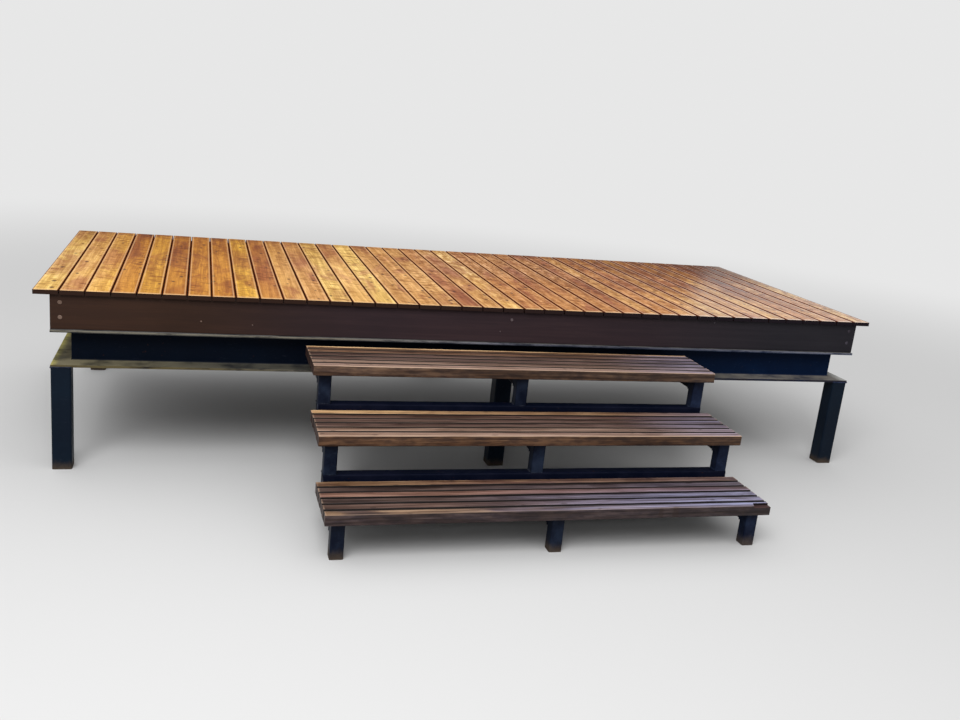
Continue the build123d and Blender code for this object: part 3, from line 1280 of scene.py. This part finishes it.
def copy_piece(piece: bpy.types.Object, name: str, offset: Vector) -> bpy.types.Object:
    """Copies a piece with its own mesh, moved within the mesh.

    Args:
        piece: What to copy.
        name: The copy's name.
        offset: How far its mesh moves.

    Returns:
        The copy.
    """
    twin = bpy.data.objects.new(name, piece.data.copy())
    twin.data.transform(Matrix.Translation(offset))
    bpy.context.scene.collection.objects.link(twin)
    return twin


def stamp(piece: bpy.types.Object, axis: Axis, seed: float, tone: Colour, side: Colour, marks: Marks) -> None:
    """Writes on a stick's points what its material reads.

    Args:
        piece: The stick.
        axis: The axis that it runs along.
        seed: Its own number.
        tone: The colour of its top.
        side: The colour of its long sides.
        marks: Further numbers by name, each worked out from a point's place.
    """
    vertices = piece.data.vertices
    width = [vertex.co[1 - axis.value] for vertex in vertices]
    middle, half = (max(width) + min(width)) / 2, (max(width) - min(width)) / 2
    numbers = {"seed": [seed] * len(width), "across": [(place - middle) / half for place in width]}
    numbers |= {name: [rule(vertex.co) for vertex in vertices] for name, rule in marks.items()}
    for name, values in numbers.items():
        piece.data.attributes.new("board_" + name, "FLOAT", "POINT").data.foreach_set("value", values)
    for name, colour in (("board_tone", tone), ("board_side", side)):
        layer = piece.data.attributes.new(name, "FLOAT_COLOR", "POINT")
        layer.data.foreach_set("color", [*colour, 1.0] * len(width))


def join_pieces(pieces: list[bpy.types.Object], name: str) -> bpy.types.Object:
    """Joins pieces into one object.

    Args:
        pieces: What to join.
        name: The joined piece's name.

    Returns:
        The joined piece.
    """
    pick_only(pieces[0])
    for piece in pieces[1:]:
        piece.select_set(True)
    bpy.ops.object.join()
    joined = bpy.context.object
    joined.name = name
    joined.data.name = name
    return joined


def smooth(piece: bpy.types.Object) -> None:
    """Shades a piece smooth, apart from its sharp edges."""
    pick_only(piece)
    bpy.ops.object.shade_smooth_by_angle(angle=math.radians(SMOOTH_UP_TO))


def unsettle(piece: bpy.types.Object, depth: float, grain: float, top: float) -> None:
    """Lets a piece's upper face dip unevenly, as timber does that has moved with the weather.

    Args:
        piece: The piece.
        depth: The deepest dip.
        grain: The size of a dip.
        top: Points above this height move.
    """
    upper = piece.vertex_groups.new(name="upper")
    upper.add([v.index for v in piece.data.vertices if v.co.z > top], 1.0, "REPLACE")
    texture = bpy.data.textures.new(piece.name + "_dips", "CLOUDS")
    texture.noise_scale = grain
    pick_only(piece)
    bpy.ops.object.modifier_add(type="DISPLACE")
    dips = piece.modifiers[-1]
    dips.texture = texture
    dips.texture_coords = "LOCAL"
    dips.direction = "Z"
    dips.mid_level = 1.0
    dips.strength = depth
    dips.vertex_group = upper.name
    bpy.ops.object.modifier_apply(modifier=dips.name)
    piece.vertex_groups.clear()


def finish_piece(piece: bpy.types.Object, material: bpy.types.Material, slot: str) -> None:
    """Dresses a new piece and rides it on the body.

    Args:
        piece: The piece.
        material: Its material, where it has none yet.
        slot: The record's material slot.
    """
    if not piece.data.materials:
        piece.data.materials.append(material)
    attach(piece, ROOT)
    log.info("%s: %d faces, slot %s", piece.name, len(piece.data.polygons), slot)


def dress_node(node: str, material: bpy.types.Material, slot: str) -> None:
    """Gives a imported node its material.

    Args:
        node: The node's name.
        material: Its material.
        slot: The record's material slot.
    """
    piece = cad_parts[node]
    piece.data.materials.clear()
    piece.data.materials.append(material)
    log.info("%s: packed node, slot %s", node, slot)


@dataclass
class DeckBoards:
    """The forty boards of the deck, in four pieces of ten."""

    gap: float = 0.004
    arris: float = 0.002
    rings: int = 14
    end_wander: float = 0.0022
    side_wander: float = 0.0007
    drop: float = 0.0007
    dip: float = 0.0006
    dip_size: float = 0.12
    lift: Span = (0.94, 1.04)
    brown_fades: float = 0.12
    laid: dict[str, str] = field(default_factory=lambda: {
        "left": "GHHCACCCHC",
        "centre_left": "AAGHGAAACA",
        "centre_right": "HCCCCCRACA",
        "right": "AHAAHACACH",
    })
    browned: dict[int, Span] = field(default_factory=lambda: {
        5: (0.3, 0.9), 9: (-0.1, 0.9), 11: (0.4, 0.8), 13: (0.62, 1.2), 18: (-0.4, 0.2), 19: (0.3, 1.0),
        23: (0.1, 0.75), 26: (0.1, 0.3), 29: (0.2, 0.6), 31: (0.15, 0.95), 33: (0.3, 0.75), 36: (0.3, 0.7),
    })
    draw: random.Random = field(default_factory=lambda: random.Random(11))

    def build(self, finish: bpy.types.Material) -> None:
        """Builds the four pieces.

        Args:
            finish: The boards' material.
        """
        tones = {tone.name[0]: tone for tone in BoardTone}
        for place, (panel, letters) in enumerate(self.laid.items()):
            node = "deck_boards_" + panel
            piece = self.build_panel(node, [tones[letter] for letter in letters], place * len(letters))
            finish_piece(piece, finish, "deck_timber")
            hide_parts(node)

    def build_panel(self, node: str, tones: list[BoardTone], first: int) -> bpy.types.Object:
        """Models one board and copies it across a node's width.

        Args:
            node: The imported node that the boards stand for.
            tones: Each board's tone.
            first: How many boards lie to its left.

        Returns:
            The joined boards.
        """
        low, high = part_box(node)
        pitch = (high.x - low.x + self.gap) / len(tones)
        corner = Vector((low.x + pitch - self.gap, high.y, high.z))
        blank = shape_stick("board", low, corner, Axis.Y, self.arris, self.rings)
        boards = []
        for number, tone in enumerate(tones):
            sideways = self.draw.uniform(-1, 1) * self.side_wander
            outermost = low.x + number * pitch < CAD_BOX[0].x + pitch / 2
            if outermost or low.x + (number + 1) * pitch > CAD_BOX[1].x:
                sideways = 0.0
            offset = Vector((number * pitch + sideways, 0, -self.draw.uniform(0, self.drop)))
            board = copy_piece(blank, f"board_{number}", offset)
            self.trim_end(board, low.y)
            lift = self.draw.uniform(*self.lift)
            tinted = tuple(c * lift for c in linear(tone.value))
            brown = self.brown_mark(first + number)
            stamp(board, Axis.Y, self.draw.uniform(0, SEED_RANGE), tinted, (0.0, 0.0, 0.0), brown)
            boards.append(board)
        bpy.data.objects.remove(blank)
        panel = join_pieces(boards, node.replace("deck_boards", "dressed_boards"))
        unsettle(panel, self.dip, self.dip_size, (low.z + high.z) / 2)
        smooth(panel)
        return panel

    def brown_mark(self, number: int) -> Marks:
        """Says where along its length a board has browned, if anywhere.

        Args:
            number: The board's place from the left.

        Returns:
            Its mark by name.
        """
        if number not in self.browned:
            return {"browned": lambda _: 0.0}
        start, end = self.browned[number]
        reach = (end - start) / 2 + self.brown_fades

        def brown(point: Vector) -> float:
            """How brown the board is at a point: it fades out past both ends of the stretch."""
            return min(1.0, max(0.0, (reach - abs(point.y - (start + end) / 2)) / (2 * self.brown_fades)))

        return {"browned": brown}

    def trim_end(self, board: bpy.types.Object, front: float) -> None:
        """Draws a board's front end back by its own small amount.

        Args:
            board: The board.
            front: Y of its front end.
        """
        back = self.draw.uniform(0, self.end_wander)
        for vertex in board.data.vertices:
            if vertex.co.y < front + self.arris:
                vertex.co.y += back


@dataclass(frozen=True)
class TreadLook:
    """The tones of one tread's slats, front slat first, of its front face, how pale its arrises are from wear
    and painted highlight, and where it takes a golden painted sheen.
    """

    tops: tuple[SlatTone, ...]
    front: SlatTone
    front_wear_and_highlight: float
    inner_wear_and_highlight: float
    gold: dict[int, Span]
    gold_even: float
    gold_strip: bool
    wide_gaps: dict[int, float]


@dataclass
class Treads:
    """The three treads, each of six slats."""

    slat_width: float = 0.042
    arris: float = 0.003
    rings: int = 22
    end_wander: float = 0.002
    drop: float = 0.0009
    dip: float = 0.0012
    dip_size: float = 0.09
    chip_length: float = 0.078
    chip_reach: float = 0.024
    chip_depth: float = 0.008
    chip_spare: float = 0.01
    chip_slant: float = 0.45
    chip_cuts: int = 9
    fibre_waves: Span = (2600.0, 3100.0)
    fibre_height: float = 0.0007
    fibre_scatter: tuple[float, float, float] = (0.0025, 0.0012, 0.0006)
    gold_fades: float = 1.5
    looks: dict[str, TreadLook] = field(default_factory=lambda: {
        "top": TreadLook(
            (SlatTone.PALE, SlatTone.DUN, SlatTone.MAUVE, SlatTone.MAUVE, SlatTone.EMBER, SlatTone.CINNAMON),
            SlatTone.OLIVE_BROWN, front_wear_and_highlight=1.0, inner_wear_and_highlight=0.5,
            gold={1: (0.06, 0.03), 4: (0.06, 0.03), 5: (1.5, 0.75)}, gold_even=0.75, gold_strip=True,
            wide_gaps={4: 1.5}),
        "middle": TreadLook(
            (SlatTone.PALE, SlatTone.DUN, SlatTone.MAUVE, SlatTone.MAUVE, SlatTone.BARK, SlatTone.TAWNY),
            SlatTone.FOXED, front_wear_and_highlight=1.0, inner_wear_and_highlight=0.4,
            gold={0: (0.08, 0.0), 1: (0.08, 0.04), 5: (1.3, 0.1)}, gold_even=0.7, gold_strip=False,
            wide_gaps={}),
        "bottom": TreadLook(
            (SlatTone.PLUM, SlatTone.MAUVE, SlatTone.DUSK, SlatTone.ROSE, SlatTone.DUSK, SlatTone.EMBER),
            SlatTone.DAMSON, front_wear_and_highlight=0.25, inner_wear_and_highlight=0.0,
            gold={0: (0.3, 0.0), 1: (0.0, 0.03), 3: (0.06, 0.02), 5: (0.32, 0.14)}, gold_even=0.0,
            gold_strip=False, wide_gaps={0: 2.0}),
    })
    draw: random.Random = field(default_factory=lambda: random.Random(5))

    def build(self, finish: bpy.types.Material, torn: bpy.types.Material) -> None:
        """Builds the three treads.

        Args:
            finish: The slats' material.
            torn: The material of the broken corner.
        """
        for level, look in self.looks.items():
            node = level + "_tread"
            low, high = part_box(node)
            pitch = (high.y - low.y - self.slat_width) / (len(look.tops) - 1)
            corner = Vector((high.x, low.y + self.slat_width, high.z))
            blank = shape_stick("slat", low, corner, Axis.X, self.arris, self.rings)
            slats = []
            for number, tone in enumerate(look.tops):
                offset = Vector((0, number * pitch, -self.draw.uniform(0, self.drop)))
                slat = copy_piece(blank, f"{level}_slat_{number}", offset)
                self.trim_ends(slat, low.x, high.x)
                unsettle(slat, self.dip, self.dip_size, (low.z + high.z) / 2)
                slat.data.materials.append(finish)
                if level == "bottom" and number == 0:
                    self.break_corner(slat, low, high, torn)
                # Slats behind the front one take painted shade on their sides in the gaps.
                side = look.front if number == 0 else SlatTone.GAP
                marks = self.slat_marks(number, look, low.x, high.x)
                seed = self.draw.uniform(0, SEED_RANGE)
                stamp(slat, Axis.X, seed, linear(tone.value), linear(side.value), marks)
                slats.append(slat)
            bpy.data.objects.remove(blank)
            piece = join_pieces(slats, "dressed_" + node)
            smooth(piece)
            finish_piece(piece, finish, "tread_timber")
            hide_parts(node)

    def slat_marks(self, number: int, look: TreadLook, left: float, right: float) -> Marks:
        """Says how one slat's arrises and its stretches of golden painted sheen look.

        Args:
            number: Its place in the tread, from 0 at the front.
            look: The tread's look.
            left: X of the slat's left end.
            right: X of its right end.

        Returns:
            Its marks by name.
        """
        last = len(look.tops) - 1
        gold_left, gold_right = look.gold.get(number, (0.0, 0.0))

        def gold(point: Vector) -> float:
            """How strong the golden painted sheen is at a point: most at its left end."""
            share = min(1.0, max(0.0, (point.x - left) / (right - left)))
            return gold_left * (1 - share) ** self.gold_fades + gold_right * share

        return {
            "worn": lambda _: look.inner_wear_and_highlight if number else look.front_wear_and_highlight,
            "gap_front": lambda _: float(number > 0),
            "gap_rear": lambda _: look.wide_gaps.get(number, float(number < last)),
            "gold": gold,
            "gold_even": lambda _: look.gold_even,
            "gold_strip": lambda _: float(look.gold_strip and number == last),
        }

    def trim_ends(self, slat: bpy.types.Object, left: float, right: float) -> None:
        """Draws a slat's ends back by its own small amounts.

        Args:
            slat: The slat.
            left: X of its left end.
            right: X of its right end.
        """
        left_back = self.draw.uniform(0, self.end_wander)
        right_back = self.draw.uniform(0, self.end_wander)
        for vertex in slat.data.vertices:
            if vertex.co.x < left + self.arris:
                vertex.co.x += left_back
            elif vertex.co.x > right - self.arris:
                vertex.co.x -= right_back

    def break_corner(self, slat: bpy.types.Object, low: Vector, high: Vector,
                     torn: bpy.types.Material) -> None:
        """Splits a splinter off the front slat's top corner at its right end.

        Args:
            slat: The front slat.
            low: The tread's lowest corner.
            high: Its highest corner.
            torn: The material of the torn faces.
        """
        spare = self.chip_spare
        start = Vector((high.x - self.chip_length, low.y - spare, high.z - self.chip_depth))
        end = Vector((high.x + spare, low.y + self.chip_reach, high.z + spare))
        wedge = start_block("chip_cutter", start, end)
        with editing(wedge):
            bpy.ops.mesh.select_all(action="SELECT")
            bpy.ops.mesh.bisect(plane_co=(start.x, low.y, high.z), plane_no=(-1.0, self.chip_slant, 0.0),
                                use_fill=True, clear_outer=True)
            bpy.ops.mesh.select_all(action="SELECT")
            bpy.ops.mesh.subdivide(number_cuts=self.chip_cuts)
        waves_back, waves_up = self.fibre_waves
        scatter_x, scatter_y, scatter_z = self.fibre_scatter
        for vertex in wedge.data.vertices:
            fibre = math.sin(vertex.co.y * waves_back) + math.sin(vertex.co.z * waves_up)
            vertex.co.z += self.fibre_height * fibre + self.draw.uniform(-scatter_z, scatter_z)
            vertex.co.y += self.draw.uniform(-scatter_y, scatter_y)
            vertex.co.x += self.draw.uniform(-scatter_x, scatter_x)
        wedge.data.materials.append(torn)
        pick_only(slat)
        bpy.ops.object.modifier_add(type="BOOLEAN")
        cut = slat.modifiers[-1]
        cut.operation = "DIFFERENCE"
        cut.object = wedge
        cut.material_mode = "TRANSFER"
        bpy.ops.object.modifier_apply(modifier=cut.name)
        bpy.data.objects.remove(wedge)


@dataclass
class JoistFixings:
    """Filled screw heads in the outer faces of the front, end and rear joists."""

    radius: float = 0.008
    stand: float = 0.0012
    sides: int = 16
    pair_heights: Span = (0.625, 0.684)
    pair_inset: float = 0.036
    side_size: float = 0.7
    rounding: float = 0.8
    recess_inset: float = 0.35
    recess_depth: float = 0.7
    scattered: tuple[tuple[float, float, float], ...] = (
        (-1.26, 0.627, 0.4), (-1.059, 0.618, 0.35), (0.047, 0.68, 0.8), (-0.001, 0.626, 0.35),
        (1.042, 0.702, 0.5),
    )

    def build(self, finish: bpy.types.Material) -> None:
        """Builds the heads.

        Args:
            finish: Their material.
        """
        front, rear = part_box("front_joist"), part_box("rear_joist")
        head = self.model_head()
        heads = []
        end_x = front[1].x - self.pair_inset
        spots = [(x, z) for x in (-end_x, end_x) for z in self.pair_heights]
        for x, z, size in [*[(*spot, 1.0) for spot in spots], *self.scattered]:
            heads.append(self.place_head(head, Vector((x, front[0].y, z)), Vector((0, -1, 0)), size))
        for x, z in spots:
            heads.append(self.place_head(head, Vector((x, rear[1].y, z)), Vector((0, 1, 0)), 1.0))
        for name in ("front_inner_joist", "middle_inner_joist", "rear_inner_joist"):
            low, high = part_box(name)
            for z in self.pair_heights:
                for side in (-1, 1):
                    spot = Vector((side * front[1].x, (low.y + high.y) / 2, z))
                    heads.append(self.place_head(head, spot, Vector((side, 0, 0)), self.side_size))
        bpy.data.objects.remove(head)
        piece = join_pieces(heads, "joist_screws")
        smooth(piece)
        finish_piece(piece, finish, "stained_timber")

    def model_head(self) -> bpy.types.Object:
        """Models one head at the origin, facing up: a low dome with a recess.

        Returns:
            The head.
        """
        bpy.ops.object.select_all(action="DESELECT")
        bpy.ops.mesh.primitive_cylinder_add(vertices=self.sides, radius=self.radius, depth=self.stand * 2)
        head = bpy.context.object
        with editing(head):
            pick_edges(head, lambda a, b: min(a.z, b.z) > 0)
            bpy.ops.mesh.bevel(offset=self.stand * self.rounding, segments=2, affect="EDGES")
            bpy.ops.mesh.select_mode(type="FACE")
            mesh = bmesh.from_edit_mesh(head.data)
            for face in mesh.faces:
                face.select_set(face.normal.z > 0.9 and face.calc_center_median().z > 0)
            bmesh.update_edit_mesh(head.data)
            bpy.ops.mesh.inset(thickness=self.radius * self.recess_inset)
            drop = (0, 0, -self.stand * self.recess_depth)
            bpy.ops.mesh.extrude_region_move(TRANSFORM_OT_translate={"value": drop})
        return head

    def place_head(self, head: bpy.types.Object, spot: Vector, outward: Vector,
                   size: float) -> bpy.types.Object:
        """Copies the head onto a joist's face.

        Args:
            head: The head, facing up at the origin.
            spot: Where it goes.
            outward: The way that it faces.
            size: How large it is beside the largest.

        Returns:
            The placed head.
        """
        twin = copy_piece(head, "screw", Vector())
        turn = outward.to_track_quat("Z", "Y").to_matrix().to_4x4()
        twin.data.transform(Matrix.Translation(spot) @ turn @ Matrix.Diagonal((size, size, 1, 1)))
        return twin


@dataclass
class Welds:
    """Fillet beads where the steel pieces meet."""

    bead: float = 0.0035
    corner: float = 0.008

    def build(self, finish: bpy.types.Material) -> None:
        """Builds the beads of the stair frames and of the posts.

        Args:
            finish: Their material.
        """
        beads = []
        for level in LEVELS:
            for column in COLUMNS:
                low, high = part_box(f"{level}_{column}_bearer")
                ring = [Vector((x, low.y, z)) for x, z in
                        ((low.x, low.z), (high.x, low.z), (high.x, high.z), (low.x, high.z))]
                beads.append(self.bead_along(ring, closed=True))
                if level == "bottom":
                    continue
                low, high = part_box(f"{level}_{column}_leg")
                for x in (low.x, high.x):
                    ends = [Vector((x, y, low.z)) for y in (low.y + self.corner, high.y - self.corner)]
                    beads.append(self.bead_along(ends, closed=False))
        for name in POSTS:
            low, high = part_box(name)
            ring = [Vector((x, y, high.z)) for x, y in
                    ((low.x, low.y), (high.x, low.y), (high.x, high.y), (low.x, high.y))]
            beads.append(self.bead_along(ring, closed=True))
        piece = join_pieces(beads, "weld_beads")
        smooth(piece)
        finish_piece(piece, finish, "tube_paint")

    def bead_along(self, points: list[Vector], closed: bool) -> bpy.types.Object:
        """Lays one bead along a line of points.

        Args:
            points: The line.
            closed: Whether it runs all the way round.

        Returns:
            The bead as a mesh.
        """
        curve = bpy.data.curves.new("bead", "CURVE")
        curve.dimensions = "3D"
        curve.bevel_depth = self.bead
        curve.bevel_resolution = 1
        spline = curve.splines.new("POLY")
        spline.points.add(len(points) - 1)
        for point, place in zip(spline.points, points):
            point.co = (*place, 1.0)
        spline.use_cyclic_u = closed
        piece = bpy.data.objects.new("bead", curve)
        bpy.context.scene.collection.objects.link(piece)
        pick_only(piece)
        bpy.ops.object.convert(target="MESH")
        return bpy.context.object


@dataclass(frozen=True)
class PackedNodes:
    """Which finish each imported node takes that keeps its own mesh."""

    channels: tuple[str, ...] = ("front_channel", "rear_channel", "left_channel", "right_channel",
                                 "middle_channel")
    outer_joists: tuple[str, ...] = ("front_joist", "rear_joist")
    end_joists: tuple[str, ...] = ("left_end_joist", "right_end_joist")
    inner_joists: tuple[str, ...] = ("front_inner_joist", "middle_inner_joist", "rear_inner_joist")
    bars: tuple[str, ...] = ("upper_bar", "lower_bar")

    def dress(self, materials: dict[str, bpy.types.Material]) -> None:
        """Dresses the nodes.

        Args:
            materials: The materials by what they cover.
        """
        supports = [f"{level}_{column}" for level in LEVELS for column in COLUMNS]
        legs = [support + "_leg" for support in supports]
        bearers = [support + "_bearer" for support in supports]
        for finish, slot, nodes in (
            ("channel", "channel_paint", self.channels),
            ("stain_along", "stained_timber", self.outer_joists),
            ("stain_across", "stained_timber", self.end_joists),
            ("sawn", "inner_timber", self.inner_joists),
            ("post", "post_paint", POSTS),
            ("leg", "tube_paint", legs),
            ("bar", "tube_paint", [*self.bars, *bearers]),
        ):
            for node in nodes:
                dress_node(node, materials[finish], slot)


@dataclass(frozen=True)
class Studio:
    """Pale floor, even sky, one soft lamp and the camera at the photograph's viewing angle."""

    camera_place: tuple[float, float, float] = (-1.2696, -4.1810, 1.5767)
    camera_turn: tuple[float, float, float] = (75.0358, -5.6733, -15.4786)
    lens: float = 35.931
    sensor: float = 36.0
    sight: float = 500.0
    floor_size: float = 200.0
    floor_shown: float = 0.66
    floor_bounce: float = 0.18
    floor_roughness: float = 0.95
    fade_start: float = 3.2
    fade_end: float = 9.0
    backdrop: float = 0.80
    horizon_light: float = 0.30
    zenith_light: float = 1.0
    key_watts: float = 280.0
    key_size: float = 4.0
    key_place: tuple[float, float, float] = (-2.4, -4.6, 5.4)
    key_aim: tuple[float, float, float] = (0.0, 0.0, 0.4)

    def build(self) -> None:
        """Builds the studio."""
        self.add_camera()
        self.add_floor()
        self.add_sky()
        self.add_lamp()
        bpy.context.scene.view_settings.view_transform = "Standard"

    def add_camera(self) -> None:
        """Adds the camera."""
        data = bpy.data.cameras.new("photo_camera")
        data.lens = self.lens
        data.sensor_width = self.sensor
        data.sensor_fit = "HORIZONTAL"
        data.clip_end = self.sight
        camera = bpy.data.objects.new("photo_camera", data)
        camera.location = self.camera_place
        camera.rotation_euler = Euler([math.radians(angle) for angle in self.camera_turn], "XYZ")
        bpy.context.scene.collection.objects.link(camera)
        bpy.context.scene.camera = camera

    def add_floor(self) -> None:
        """Adds the floor, paler to the camera and to reflections than to the light that it sends back."""
        bpy.ops.object.select_all(action="DESELECT")
        bpy.ops.mesh.primitive_plane_add(size=self.floor_size)
        floor = bpy.context.object
        floor.name = "studio_floor"
        material, tree, shader = new_material("pale_floor")
        seen = seen_directly(tree)
        x, y, _ = tree.split(tree.place())
        away = tree.math("SQRT", tree.sum(tree.product(x, x), tree.product(y, y)))
        far = tree.step(away, self.fade_start, self.fade_end)
        shade = tree.product(tree.between(seen, self.floor_bounce, self.floor_shown), tree.inverse(far))
        tree.feed(shader.inputs["Base Color"], tree.join(shade, shade, shade))
        shader.inputs["Emission Color"].default_value = (*WHITE, 1.0)
        tree.feed(shader.inputs["Emission Strength"], tree.product(seen, far, self.backdrop))
        shader.inputs["Roughness"].default_value = self.floor_roughness
        shader.inputs["Specular IOR Level"].default_value = 0.0
        floor.data.materials.append(material)

    def add_sky(self) -> None:
        """Adds the even light from all round, and the pale backdrop that the camera sees."""
        world = bpy.data.worlds.new("studio_sky")
        world.use_nodes = True
        world.node_tree.nodes.clear()
        tree = Tree(world.node_tree)
        height = tree.split(tree.add("ShaderNodeTexCoord").outputs["Generated"])[2]
        light = tree.add("ShaderNodeMapRange", {"Value": height, "To Min": self.horizon_light,
                                                "To Max": self.zenith_light}).outputs[0]
        strength = tree.add("ShaderNodeMix", {0: seen_directly(tree), 2: light, 3: self.backdrop}).outputs[0]
        sky = tree.add("ShaderNodeBackground", {"Color": WHITE, "Strength": strength})
        tree.add("ShaderNodeOutputWorld", {"Surface": sky.outputs[0]})
        bpy.context.scene.world = world

    def add_lamp(self) -> None:
        """Adds the soft square lamp that points at the object."""
        data = bpy.data.lights.new("key_lamp", "AREA")
        data.size = self.key_size
        data.energy = self.key_watts
        lamp = bpy.data.objects.new("key_lamp", data)
        lamp.location = self.key_place
        aim = Vector(self.key_aim) - Vector(self.key_place)
        lamp.rotation_euler = aim.to_track_quat("-Z", "Y").to_euler()
        bpy.context.scene.collection.objects.link(lamp)


def seen_directly(tree: Tree) -> Socket:
    """Gives 1 to rays from the camera, reflections and glass, and 0 to light that bounces."""
    rays = tree.add("ShaderNodeLightPath").outputs
    return tree.larger(tree.larger(rays["Is Camera Ray"], rays["Is Glossy Ray"]), rays["Is Transmission Ray"])


def main() -> None:
    """Builds the classes in order."""
    logging.basicConfig(level=logging.INFO, format="%(name)s: %(message)s")
    Studio().build()
    effects = Effects(grain=Grain().build(), edges=worn_edges(), dust=settled_dust(), age=paint_age())
    stain = {"base": (0.205, 0.15, 0.168), "light": (0.24, 0.178, 0.192), "dark": (0.17, 0.13, 0.15)}
    finishes = {
        # The channels' and legs' right tints are painted light.
        "channel": SteelPaint(
            "channel_paint", (0.03, 0.06, 0.11), (0.05, 0.085, 0.14), fading=0.5, dustiness=0.85,
            soil_height=0.02, specular=0.04, toe_line=True, right_tint=(1.15, 1.45, 1.7)),
        "post": SteelPaint(
            "post_paint", (0.045, 0.09, 0.145), (0.07, 0.125, 0.18), fading=0.6, dustiness=0.4,
            soil_height=0.04),
        "leg": SteelPaint(
            "leg_paint", (0.03, 0.06, 0.13), (0.155, 0.195, 0.27), fading=0.85, dustiness=0.2,
            soil_height=0.05, edge_radius=0.004, edge_wear_and_highlight=0.6, right_tint=(1.0, 1.05, 1.2)),
        "bar": SteelPaint(
            "bar_paint", (0.035, 0.055, 0.12), (0.09, 0.10, 0.17), fading=0.6, dustiness=0.0,
            soil_height=0.0, specular=0.04, edge_radius=0.005, edge_wear_and_highlight=0.9),
        "filler": Filler(),
        # The front and rear joists' tints are painted light.
        "stain_along": StainedTimber("dark_stain_along", **stain, roughness=0.55, grain_along=Axis.X,
                                     left_tint=(1.02, 0.90, 0.64), right_tint=(0.66, 0.80, 0.86)),
        "stain_across": StainedTimber("dark_stain_across", **stain, roughness=0.55, grain_along=Axis.Y),
        "sawn": StainedTimber("sawn_joist", (0.42, 0.35, 0.25), (0.52, 0.44, 0.32), (0.28, 0.23, 0.17),
                              roughness=0.75, grain_along=Axis.X),
    }
    materials = {name: finish.material(effects) for name, finish in finishes.items()}
    DeckBoards().build(BoardTimber().material(effects))
    Treads().build(SlatTimber().material(effects), TornTimber().material(effects))
    PackedNodes().dress(materials)
    JoistFixings().build(materials["filler"])
    Welds().build(materials["leg"])


if __name__ == "__main__":
    main()
